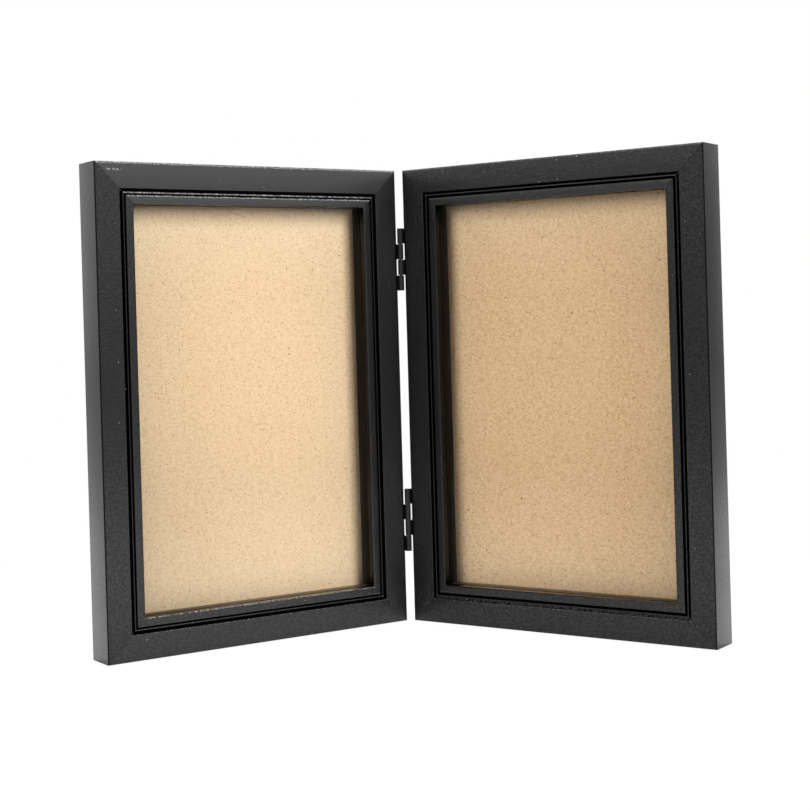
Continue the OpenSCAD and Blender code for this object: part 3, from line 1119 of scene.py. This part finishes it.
@dataclass
class Turner:
    """Turned pins and screws, with their threads and cross recesses.

    Attributes:
        jig: The tree that turns an outline.
        layout: The tree that sets out copies.
    """

    jig: Jig = field(init=False)
    layout: Jig = field(init=False)

    def __post_init__(self) -> None:
        """Builds the two trees."""
        self.jig = self.turning()
        self.layout = self.setting_out()

    @staticmethod
    def turning() -> Jig:
        """The tree that turns an outline about z, threads it and cuts the recess."""
        sizes = {"sides": "NodeSocketInt"} | dict.fromkeys(asdict(Cut()), "NodeSocketFloat")
        jig = Jig("Turned screw", sizes)
        axis = jig.node("GeometryNodeMeshToCurve", feeds={"Mesh": jig.start})
        circle = {"Resolution": jig.given("sides"), "Radius": 1.0}
        ring = jig.node("GeometryNodeCurvePrimitiveCircle", feeds=circle)
        feeds = {"Curve": axis, "Profile Curve": ring, "Scale": jig.carried("girth"), "Fill Caps": True}
        blank = jig.node("GeometryNodeCurveToMesh", feeds=feeds)
        x = jig.part(jig.node("GeometryNodeInputPosition"))
        y, z = x.other("Y"), x.other("Z")
        phase = (z / jig.given("pitch") - y.arctan(x) / (2 * math.pi)).fraction()
        ridge = 1 - abs(phase * 2 - 1).least(0.75) / 0.75
        grow = 1 - jig.given("thread") * jig.carried("threaded") * (1 - ridge)
        screw = jig.moved(blank, x * grow, y * grow, z)
        arms = []
        for turned in (False, True):
            span, width = jig.given("span"), jig.given("width")
            if turned:
                span, width = width, span
            size = jig.vector(span, width, jig.given("depth") * 2)
            arm = jig.node("GeometryNodeMeshCube", feeds={"Size": size})
            top = jig.vector(0.0, 0.0, jig.given("top"))
            arms.append(jig.node("GeometryNodeTransform", feeds={"Geometry": arm, "Translation": top}))
        cut = jig.node("GeometryNodeMeshBoolean", {"operation": "DIFFERENCE"}, {0: screw, 1: arms[0]})
        jig.tree.links.new(arms[1].socket, cut.socket.node.inputs[1])
        compared = {0: jig.given("span"), 1: 0.0}
        has_recess = jig.node("FunctionNodeCompare", {"operation": "GREATER_THAN"}, compared)
        picked = jig.node("GeometryNodeSwitch", {"input_type": "GEOMETRY"}, {0: has_recess, 1: screw, 2: cut})
        jig.close(picked)
        return jig

    @staticmethod
    def setting_out() -> Jig:
        """The tree that sets copies of a piece at marked points."""
        jig = Jig("Set out copies", {"Piece": "NodeSocketObject"})
        piece = jig.node("GeometryNodeObjectInfo", feeds={"Object": jig.given("Piece")}, out="Geometry")
        turn = jig.node("FunctionNodeEulerToRotation", feeds={0: jig.carried("turn", "FLOAT_VECTOR")})
        feeds = {"Points": jig.start, "Instance": piece, "Rotation": turn}
        jig.close(jig.node("GeometryNodeInstanceOnPoints", feeds=feeds))
        return jig

    def turned(self, outline: Sequence[Sequence[float]], sides: int, cut: Cut = Cut()) -> Mesh:
        """Turns an outline about z.

        Args:
            outline: Height, radius and 1 where threaded, from one end to the other.
            sides: Number of sides round the axis.
            cut: Its thread and cross recess.

        Returns:
            The turned mesh.
        """
        blank = polyline("turned_blank", [(0, 0, height) for height, _, _ in outline], False)
        carry(blank, "girth", [radius for _, radius, _ in outline])
        carry(blank, "threaded", [threaded for _, _, threaded in outline])
        return self.jig.shape(blank, {"sides": sides} | asdict(cut))

    def set_out(
        self,
        name: str,
        side: Side,
        slot: Slot,
        piece: Mesh,
        places: Sequence[Matrix],
        material: Material,
    ) -> None:
        """Sets copies of one mesh on a half, as one piece.

        Args:
            name: The CAD node's name without the side.
            side: The half.
            slot: The record's material slot.
            piece: The mesh to copy, which is used up.
            places: Where each copy goes, in a half's own millimetres.
            material: The copies' material.
        """
        holder = linked("copied_piece", piece)
        marks = bpy.data.meshes.new("marks")
        marks.from_pydata([tuple(place.translation) for place in places], [], [])
        turns = marks.attributes.new("turn", "FLOAT_VECTOR", "POINT")
        for mark, place in zip(turns.data, places):
            mark.vector = place.to_euler()
        made = self.layout.shape(marks, {"Piece": holder, "Material": material})
        made.name = f"{name}_{side.value}"
        bpy.data.objects.remove(holder)
        bpy.data.meshes.remove(piece)
        set_on_half(made, side, slot, name)


@dataclass
class Fastenings:
    """V nails, turn buttons and the screws that they turn on.

    Attributes:
        finishes: The materials.
        turner: The trees for turned pieces.
        nail_leg: Length of a V nail's legs.
        nail_t: Thickness of a V nail.
        nail_d: Depth that a V nail is driven in.
        nail_proud: How far a V nail stands out at the rear.
        button_w: Width of a turn button.
        button_reach: Distance from its screw to the centre of its far end.
        button_t: Thickness of a turn button.
        button_soft: Radius of a turn button's rear edge, which the stamping left soft.
        ease: Depth of the fine arris on nails and buttons.
        play: Clearance under the button and round its screw.
        shank_d: Diameter of the button screw.
        shank_l: Length of the button screw below the moulding's rear face.
        head_d: Diameter of the button screw's head.
        head_h: Height of the button screw's head.
        pitch: Pitch of its thread.
        thread: Depth of its thread as a share of its radius.
        recess_w: Width of the cross recess.
        recess_d: Depth of the cross recess.
        sides: Number of sides round a screw.
        turns: How far each screw was left turned, in degrees.
    """

    finishes: Finishes
    turner: Turner
    nail_leg: float = 5.0
    nail_t: float = 0.5
    nail_d: float = 7.0
    nail_proud: float = 0.04
    button_w: float = 8.0
    button_reach: float = 11.0
    button_t: float = 0.8
    button_soft: float = 0.22
    ease: float = 0.08
    play: float = 0.05
    shank_d: float = 3.0
    shank_l: float = 9.0
    head_d: float = 5.6
    head_h: float = 1.4
    pitch: float = 1.15
    thread: float = 0.26
    recess_w: float = 0.5
    recess_d: float = 0.8
    sides: int = 28
    turns: Sequence[int] = (12, 57, 33, 74)

    def pivot(self, edge: Edge) -> Matrix:
        """Where a button pivots, turned so that the button points inwards."""
        inset = HALF.rear_w / 2
        x, z, turn = {
            Edge.TOP: (HALF.width / 2, HALF.height - inset, 0),
            Edge.BOTTOM: (HALF.width / 2, inset, 180),
            Edge.OUTER: (HALF.width - inset, HALF.height / 2, 90),
            Edge.HINGE: (inset, HALF.height / 2, -90),
        }[edge]
        return shifted(x, 0, z) @ turned_about("Y", turn)

    def nail(self) -> Mesh:
        """One V nail with its point of the V at the origin, bent with a small radius."""
        leg, thick = self.nail_leg, self.nail_t
        outer = [(leg, 0.0), *arc((thick, thick), thick, 270, 180, 4), (0.0, leg)]
        inner = [(thick, leg), (thick, thick), (leg, thick)]
        section = outer + inner
        low, high, ease = HALF.depth - self.nail_d, HALF.depth + self.nail_proud, self.ease
        work = bmesh.new()
        levels = [(low, 0.0), (high - ease, 0.0), (high, ease)]
        middle = Vector((thick, thick))
        rings = []
        for level, pull in levels:
            drawn = []
            for spot in map(Vector, section):
                away = middle - spot
                drawn.append(spot + away.normalized() * min(pull, away.length) * 0.5)
            rings.append(ring_at(work, drawn, level))
        bridge(work, rings)
        work.faces.new(rings[0])
        work.faces.new(rings[-1])
        bmesh.ops.recalc_face_normals(work, faces=work.faces)
        return made_mesh("v_nail", work)

    def nails(self, side: Side) -> None:
        """The V nails of one half."""
        near = (HALF.rear_w - self.nail_leg) / 2
        far_x, far_z = HALF.width - near, HALF.height - near
        corners = [(near, near, 0), (near, far_z, 90), (far_x, far_z, 180), (far_x, near, 270)]
        places = [shifted(x, 0, z) @ turned_about("Y", turn) for x, z, turn in corners]
        self.turner.set_out("v_nails", side, Slot.STEEL, self.nail(), places, self.finishes.steel)

    def button(self, name: str) -> Mesh:
        """A turn button that hangs down from its pivot, with soft stamped edges."""
        radius, reach, thick = self.button_w / 2, self.button_reach, self.button_t
        bore = self.shank_d / 2 + self.play
        soft, fine = self.button_soft, self.ease
        base = HALF.depth + self.play
        steps = [(0.0, fine), (fine, 0.0), (thick - soft, 0.0)]
        for a in (0.5, 1.0, math.pi / 2):
            steps.append((thick - soft * (1 - math.sin(a)), soft * (1 - math.cos(a))))
        work = bmesh.new()
        rings, walls = [], []
        for rise, inset in steps:
            end = radius - inset
            outline = arc((0, 0), end, 0, 180, 20) + arc((0, -reach), end, 180, 360, 20)
            rings.append(ring_at(work, outline, base + rise))
        for rise, flare in ((thick, fine), (thick - fine, 0.0), (fine, 0.0), (0.0, fine)):
            walls.append(ring_at(work, arc((0, 0), bore + flare, 0, 360, 32)[:-1], base + rise))
        bridge(work, rings)
        bridge(work, walls)
        fill_between(work, rings[-1], walls[0])
        fill_between(work, rings[0], walls[-1])
        bmesh.ops.recalc_face_normals(work, faces=work.faces)
        return made_mesh(name, work)

    def buttons(self, side: Side) -> None:
        """The four turn buttons of one half, each on its own body."""
        for edge in Edge:
            node = f"{side.value}_{edge.value}_button"
            mesh = self.button(f"turn_button_{side.value}_{edge.value}")
            place = STANCE.place(side) @ self.pivot(edge)
            set_piece(mesh, place, node, Slot.STEEL, node, [self.finishes.steel])

    def screw(self) -> Mesh:
        """A round head screw, its head seated at z = 0 and facing up."""
        head, shank = self.head_d / 2, self.shank_d / 2
        rise = self.head_h
        below = self.shank_l + 2 * self.play + self.button_t
        angles = (1.48, 1.3, 1.05, 0.8, 0.55, 0.3, 0.1)
        dome = [(rise * math.sin(a), head * math.cos(a) ** 0.55, 0) for a in angles]
        outline = [*dome, (0.02, head, 0), (0.0, head - 0.03, 0), (-0.01, shank, 0), (-1.4, shank, 0)]
        count = 56
        outline += [(-1.5 - (below - 3.1) * i / count, shank, 1) for i in range(count + 1)]
        outline += [(-below + 1.1, shank * 0.72, 0.6), (-below + 0.4, shank * 0.35, 0)]
        outline.append((-below, shank * 0.08, 0))
        cut = Cut(self.pitch, self.thread, rise, head, self.recess_w, self.recess_d)
        return self.turner.turned(outline, self.sides, cut)

    def screws(self, side: Side) -> None:
        """The four button screws of one half, each left at its own turn."""
        seat = HALF.depth + 2 * self.play + self.button_t
        stand = turned_about("X", -90)
        places = [
            self.pivot(edge) @ shifted(0, seat, 0) @ stand @ turned_about("Z", turn)
            for edge, turn in zip(Edge, self.turns)
        ]
        self.turner.set_out("button_screws", side, Slot.STEEL, self.screw(), places, self.finishes.steel)

    def build(self) -> None:
        """Makes the fastenings of both halves."""
        for side in Side:
            self.nails(side)
            self.buttons(side)
            self.screws(side)


def fill_between(work: Work, *loops: Ring) -> None:
    """Fills a flat face whose outline and holes are closed loops of vertices."""
    pairs = [pair for loop in loops for pair in zip(loop, [*loop[1:], loop[0]])]
    edges = [work.edges.get(pair) or work.edges.new(pair) for pair in pairs]
    bmesh.ops.triangle_fill(work, use_beauty=True, use_dissolve=False, edges=edges)


def ring_at(work: Work, outline: Iterable[Point], depth: float) -> Ring:
    """New vertices round an outline of x and z at one depth."""
    return [work.verts.new((x, depth, z)) for x, z in outline]


def bridge(work: Work, rings: Sequence[Ring]) -> None:
    """Joins a stack of loops of the same length by faces."""
    for lower, upper in zip(rings, rings[1:]):
        for i, j in zip(range(len(lower)), [*range(1, len(lower)), 0]):
            work.faces.new((lower[i], lower[j], upper[j], upper[i]))


@dataclass
class ButtHinges:
    """The two small butt hinges: rolled leaves, pins and countersunk screws.

    Attributes:
        finishes: The materials.
        turner: The trees for turned pieces.
        feet: Height of each hinge's foot above the table.
        height: Height of a hinge along its pin.
        knuckles: Number of knuckles on a hinge.
        knuckle_gap: Gap between two knuckles.
        leaf_t: Thickness of a leaf.
        leaf_w: Depth of a leaf's rear edge.
        plate_front: Depth of a leaf's front edge between its knuckles.
        barrel_r: Outer radius of a knuckle.
        bore_r: Radius of a knuckle's bore.
        pin_r: Radius of the pin.
        screw_y: Depth of the screws.
        shank_r: Radius of a hinge screw.
        head_r: Radius of a hinge screw's head.
        screw_l: Length of a hinge screw.
        point_l: Length of its point.
        screw_play: Clearance round the head and round the shank.
        pin_ease: Height and depth of the pin's eased ends.
        pitch: Pitch of the screw's thread.
        thread: Depth of the thread as a share of the radius.
        recess_w: Width of its cross recess.
        recess_d: Depth of its cross recess.
        sides: Number of sides round a pin or screw.
        turns: How far each screw was left turned, in degrees, the upper hinge first.
        screw_at: Place of a leaf's two screws as shares of its height.
    """

    finishes: Finishes
    turner: Turner
    feet: dict[Level, float] = field(default_factory=lambda: {Level.UPPER: 131.0, Level.LOWER: 27.7})
    height: float = 24.6
    knuckles: int = 4
    knuckle_gap: float = 0.2
    leaf_t: float = 0.5
    leaf_w: float = 8.0
    plate_front: float = 1.4
    barrel_r: float = 1.14
    bore_r: float = 0.64
    pin_r: float = 0.6
    screw_y: float = 4.7
    shank_r: float = 0.8
    head_r: float = 1.4
    screw_l: float = 8.0
    point_l: float = 1.6
    screw_play: Point = (0.03, 0.13)
    pin_ease: Point = (0.1, 0.12)
    pitch: float = 0.7
    thread: float = 0.24
    recess_w: float = 0.4
    recess_d: float = 0.3
    sides: int = 24
    turns: Sequence[int] = (20, 65, 41, 8)
    screw_at: Point = (0.25, 0.75)

    def curl(self) -> list[Point]:
        """A knuckle's rolled section, from the plate round the pin to the roll's free end."""
        centre = (-STANCE.side_gap, -STANCE.pin_front)
        start, end = math.degrees(math.acos(STANCE.side_gap / self.barrel_r)), -283
        outer = arc(centre, self.barrel_r, start, end, 40)
        inner = arc(centre, self.bore_r, end, start, 30)
        root = (-self.leaf_t, -self.leaf_t)
        return [(0.0, self.plate_front), *outer, *inner, root, (-self.leaf_t, self.plate_front)]

    def leaf(self, name: str, foot: float, first: int) -> Mesh:
        """One leaf with its knuckles and countersunk holes.

        Args:
            name: The mesh's name.
            foot: Height of its lower end.
            first: Number of its lowest knuckle.

        Returns:
            The mesh.
        """
        pitch = (self.height + self.knuckle_gap) / self.knuckles
        tall = pitch - self.knuckle_gap
        spans = [(foot + i * pitch, foot + i * pitch + tall) for i in range(first, self.knuckles, 2)]
        top = foot + self.height
        levels = sorted({foot, top, *(z for span in spans for z in span)})
        work = bmesh.new()
        corners: dict[tuple[float, float, float], Corner] = {}

        def spot(x: float, y: float, z: float) -> Corner:
            """The vertex at a place, made once."""
            key = (round(x, 6), round(y, 6), round(z, 6))
            if key not in corners:
                corners[key] = work.verts.new(key)
            return corners[key]

        inside, front, rear = -self.leaf_t, self.plate_front, self.leaf_w
        for low, high in zip(levels, levels[1:]):
            faces = [[(0, rear, low), (inside, rear, low), (inside, rear, high), (0, rear, high)]]
            if (low, high) not in spans:
                faces.append([(0, front, low), (0, front, high), (inside, front, high), (inside, front, low)])
            for face in faces:
                work.faces.new([spot(*place) for place in face])
        for z in (foot, top):
            face = (0, front), (0, rear), (inside, rear), (inside, front)
            work.faces.new([spot(x, y, z) for x, y in face])
        section = self.curl()
        for low, high in spans:
            lower, upper = ([spot(x, y, z) for x, y in section] for z in (low, high))
            for i in range(len(section) - 1):
                work.faces.new([lower[i], lower[i + 1], upper[i + 1], upper[i]])
            work.faces.new(lower)
            work.faces.new(upper)
        self.plate_sides(work, spot, levels, foot)
        bmesh.ops.recalc_face_normals(work, faces=work.faces)
        return made_mesh(name, work)

    def plate_sides(self, work: Work, spot: Any, levels: list[float], foot: float) -> None:
        """Fills the two broad sides of a leaf round its countersunk holes.

        Args:
            work: The mesh work.
            spot: Gives the vertex at a place.
            levels: Heights at which the leaf's outline changes.
            foot: Height of the leaf's lower end.
        """
        holes = []
        head_play, shank_play = self.screw_play
        for z in self.screw_heights(foot):
            pair = []
            for x, radius in ((-self.leaf_t, self.head_r + head_play), (0.0, self.shank_r + shank_play)):
                ring = arc((self.screw_y, z), radius, 0, 360, 32)[:-1]
                pair.append([spot(x, y, height) for y, height in ring])
            bridge(work, pair)
            holes.append(pair)
        for index, x in enumerate((-self.leaf_t, 0.0)):
            front = [spot(x, self.plate_front, z) for z in levels]
            rear = [spot(x, self.leaf_w, z) for z in reversed(levels)]
            fill_between(work, front + rear, *(pair[index] for pair in holes))

    def screw_heights(self, foot: float) -> list[float]:
        """Heights of a leaf's two screws."""
        return [foot + self.height * share for share in self.screw_at]

    def pin(self, name: str, foot: float) -> Mesh:
        """A hinge pin with eased ends."""
        top, radius = foot + self.height, self.pin_r
        rise, inset = self.pin_ease
        outline = [(foot, radius - inset, 0), (foot + rise, radius, 0)]
        outline += [(top - rise, radius, 0), (top, radius - inset, 0)]
        mesh = self.turner.turned(outline, self.sides)
        mesh.name = name
        mesh.materials.clear()
        return mesh

    def screw(self) -> Mesh:
        """A countersunk screw, the face of its head at z = 0."""
        sink = self.head_r - self.shank_r
        outline = [(0.0, self.head_r - 0.03, 0), (-0.03, self.head_r, 0)]
        outline += [(-sink, self.shank_r, 0), (-1.0, self.shank_r, 0)]
        count, tip = 44, self.screw_l - self.point_l
        outline += [(-1.1 - (tip - 1.1) * i / count, self.shank_r, 1) for i in range(count + 1)]
        outline += [(-tip - 0.7, self.shank_r * 0.6, 0.6), (-self.screw_l, self.shank_r * 0.25, 0)]
        cut = Cut(self.pitch, self.thread, 0.0, self.head_r, self.recess_w, self.recess_d)
        return self.turner.turned(outline, self.sides, cut)

    def screws(self, side: Side) -> None:
        """The four hinge screws of one half."""
        face = turned_about("Y", -90)
        heights = [z for foot in self.feet.values() for z in self.screw_heights(foot)]
        places = [
            shifted(-self.leaf_t, self.screw_y, z) @ face @ turned_about("Z", turn)
            for z, turn in zip(heights, self.turns)
        ]
        self.turner.set_out("hinge_screws", side, Slot.HINGE, self.screw(), places, self.finishes.hinge)

    def build(self) -> None:
        """Makes both hinges and their screws."""
        paint = [self.finishes.hinge]
        for level, foot in self.feet.items():
            for first, side in enumerate(Side):
                mesh = self.leaf(f"leaf_{level.value}_{side.value}", foot, first)
                node = f"{level.value}_hinge_{side.value}_leaf"
                set_piece(mesh, STANCE.place(side), f"{side.value}_half", Slot.HINGE, node, paint)
            mesh = self.pin(f"pin_{level.value}", foot)
            place = Matrix.Scale(MM, 4) @ shifted(0, STANCE.pin_depth, 0)
            set_piece(mesh, place, "left_half", Slot.HINGE, f"{level.value}_hinge_pin", paint)
        for side in Side:
            self.screws(side)


@dataclass(frozen=True)
class SoftBox:
    """A rectangular lamp that faces the object.

    Attributes:
        name: Its name.
        azimuth: Direction from the front towards the right, in degrees.
        rise: Height above the horizon, in degrees.
        away: Distance from the object in metres.
        width: Width in metres.
        height: Height in metres.
        level: Light on a surface that faces it, 1 being plain daylight white.
    """

    name: str
    azimuth: float
    rise: float
    away: float
    width: float
    height: float
    level: float

    def hang(self, aim: Vector) -> None:
        """Makes the lamp and points it at the object."""
        a, e = math.radians(self.azimuth), math.radians(self.rise)
        back = Vector((math.sin(a) * math.cos(e), -math.cos(a) * math.cos(e), math.sin(e)))
        lamp = bpy.data.lights.new(self.name, "AREA")
        lamp.shape = "RECTANGLE"
        lamp.size, lamp.size_y = self.width, self.height
        lamp.energy = self.level * math.pi**2 * self.away**2
        holder = linked(self.name, lamp)
        holder.visible_glossy = False
        holder.location = aim + back * self.away
        holder.rotation_euler = (-back).to_track_quat("-Z", "Y").to_euler()


@dataclass(frozen=True)
class RoomTones:
    """How bright the room beside the white backdrop looks in gloss, at the height of the object.

    Attributes:
        front_left: Brightness to the front left.
        front_right: Brightness to the front right.
        back_left: Brightness to the back left.
        back_right: Brightness to the back right.
    """

    front_left: float = 0.0
    front_right: float = 0.26
    back_left: float = 0.68
    back_right: float = 0.3

    def seen(self, graph: Graph) -> Wire:
        """Brightness in the direction of a ray, white above, below and towards the backdrop."""
        way = graph.node("ShaderNodeTexCoord", out="Generated")
        split = graph.part(way)
        right = split.ramp(-0.5, 0.5)
        back = split.other("Y").ramp(-0.2, 0.4)
        front = self.front_left + (self.front_right - self.front_left) * right
        rear = self.back_left + (self.back_right - self.back_left) * right
        room = front + (rear - front) * back
        clear = (split.other("Z") - back * 0.09).ramp(0.0, 0.06).most(split.other("Y").ramp(0.6, 0.9))
        return room + (1 - room) * clear


@dataclass(frozen=True)
class Studio:
    """Pale floor, soft light and the camera.

    Attributes:
        ambient: Strength of the light from all round.
        room: What gloss reflects beside the backdrop.
        floor_tone: Colour of the floor as it lights the object.
        seen_tone: Colour of the floor as the camera sees it.
        floor_glow: Share of the floor's look that is plain white, so that its shadow stays soft.
        mirrored_glow: The same share where gloss mirrors the paper.
        near_share: How much of that share is left close to the object.
        near_reach: Distances in millimetres between which it grows to the whole.
        shadow_reach: Distances in millimetres between which the shadow fades out.
        paper_reach: Distances in millimetres between which the white paper ends.
        beyond_left: Brightness of the floor beyond the paper at the left, as a share of the paper's.
        beyond_right: The same at the right.
        floor_half: Half the floor's width in metres.
        floor_z: Height of the floor in metres, a hair under the feet.
        aim: Place that the lamps face, in metres.
        focal_px: Focal length in pixels of the picture.
        centre_px: The optical axis in the picture.
        frame_px: Width of the picture in pixels.
        eye: Place of the camera in millimetres.
        yaw: Turn of the camera to the right in radians.
        pitch: Tilt of the camera downwards in radians.
        roll: Roll of the camera in radians.
        sensor: Width of the sensor in millimetres.
        clip: Nearest and farthest distances that the camera sees, in metres.
        boxes: The lamps.
    """

    ambient: float = 0.2
    room: RoomTones = RoomTones()
    floor_tone: Colour = (0.7, 0.7, 0.7, 1.0)
    seen_tone: Colour = (0.97, 0.97, 0.97, 1.0)
    floor_glow: float = 0.9
    mirrored_glow: float = 0.48
    near_share: float = 0.3
    near_reach: Point = (120.0, 260.0)
    shadow_reach: Point = (180.0, 300.0)
    paper_reach: Point = (300.0, 750.0)
    beyond_left: float = 0.5
    beyond_right: float = 0.3
    floor_half: float = 6.0
    floor_z: float = -0.00002
    aim: tuple[float, float, float] = (0.0, 0.0, 0.09)
    focal_px: float = 1593.006
    centre_px: Point = (380.93, 327.95)
    frame_px: float = 810.0
    eye: tuple[float, float, float] = (0.527, -602.185, 117.928)
    yaw: float = -0.01447
    pitch: float = 0.00244
    roll: float = -0.0288
    sensor: float = 36.0
    clip: Point = (0.01, 50.0)
    boxes: tuple[SoftBox, ...] = (
        SoftBox("Key", 48.0, 22.0, 5.0, 2.2, 3.2, 1.06),
        SoftBox("Fill", -48.0, 22.0, 5.0, 2.2, 3.2, 0.69),
        SoftBox("Back", 180.0, 58.0, 1.6, 1.0, 0.8, 1.0),
        SoftBox("Top", 0.0, 80.0, 2.5, 1.4, 1.4, 0.4),
    )

    def surround(self) -> None:
        """White background with a softer light on the object."""
        world = bpy.data.worlds.new("Studio")
        graph = Graph(emptied(world))
        seen = graph.node("ShaderNodeLightPath", out="Is Camera Ray")
        sharp = seen.most(seen.other("Is Glossy Ray")).most(seen.other("Is Transmission Ray"))
        level = seen.most(sharp * self.room.seen(graph)).most(self.ambient)
        white = graph.node("ShaderNodeBackground", feeds={"Color": WHITE, "Strength": level})
        graph.end("ShaderNodeOutputWorld", white)
        bpy.context.scene.world = world

    def floor(self) -> None:
        """A wide pale floor just under the feet."""
        paint = Paint("Pale floor")
        at = paint.place()
        away = paint.vectors("LENGTH", {0: at}, "Value")
        seen = paint.node("ShaderNodeLightPath", out="Is Camera Ray")
        mirrored = seen.other("Is Glossy Ray")
        beyond = paint.part(at).ramp(-200.0, 200.0, self.beyond_left, self.beyond_right)
        reach = 1 + (beyond - 1) * away.ramp(*self.paper_reach)
        tone = paint.mix(paint.tone(self.floor_tone, reach), self.seen_tone, seen)
        plain = paint.node("ShaderNodeBsdfDiffuse", feeds={"Color": tone})
        glow = paint.node("ShaderNodeEmission", feeds={"Color": WHITE})
        glow_share = away.ramp(*self.shadow_reach, self.floor_glow, 1.0)
        near = away.ramp(*self.near_reach, self.near_share, 1.0)
        share = seen * glow_share + mirrored * reach * near * self.mirrored_glow
        surface = paint.node("ShaderNodeMixShader", feeds={0: share, 1: plain, 2: glow})
        mesh = bpy.data.meshes.new("floor")
        reach, z = self.floor_half, self.floor_z
        corners = [(-reach, -reach, z), (reach, -reach, z), (reach, reach, z), (-reach, reach, z)]
        mesh.from_pydata(corners, [], [(0, 1, 2, 3)])
        mesh.materials.append(paint.finish(surface))
        linked("floor", mesh)

    def camera(self) -> None:
        """The camera as it stood for the photograph."""
        ahead = Vector((math.sin(self.yaw), math.cos(self.yaw), 0)) * math.cos(self.pitch)
        ahead.z = -math.sin(self.pitch)
        level = Vector((math.cos(self.yaw), -math.sin(self.yaw), 0))
        rise = level.cross(ahead)
        right = level * math.cos(self.roll) + rise * math.sin(self.roll)
        up = rise * math.cos(self.roll) - level * math.sin(self.roll)
        lens = bpy.data.cameras.new("Camera")
        lens.sensor_width = self.sensor
        lens.lens = self.focal_px / self.frame_px * self.sensor
        middle = self.frame_px / 2
        lens.shift_x = (middle - self.centre_px[0]) / self.frame_px
        lens.shift_y = (self.centre_px[1] - middle) / self.frame_px
        lens.clip_start, lens.clip_end = self.clip
        holder = linked("Camera", lens)
        axes = Matrix((right, up, -ahead)).transposed().to_4x4()
        holder.matrix_world = Matrix.Translation(Vector(self.eye) * MM) @ axes
        bpy.context.scene.camera = holder

    def build(self) -> None:
        """Sets up the studio."""
        scene = bpy.context.scene
        scene.view_settings.view_transform = "Standard"
        self.surround()
        self.floor()
        for box in self.boxes:
            box.hang(Vector(self.aim))
        self.camera()
        LOG.info("studio: %d lamps", len(self.boxes))


def main() -> None:
    """Builds the frame and its studio."""
    logging.basicConfig(level=logging.INFO, format="%(name)s %(message)s")
    finishes = Finishes()
    turner = Turner()
    Studio().build()
    Moulding(finishes).build()
    Filling(finishes).build()
    Fastenings(finishes, turner).build()
    ButtHinges(finishes, turner).build()


if __name__ == "__main__":
    main()
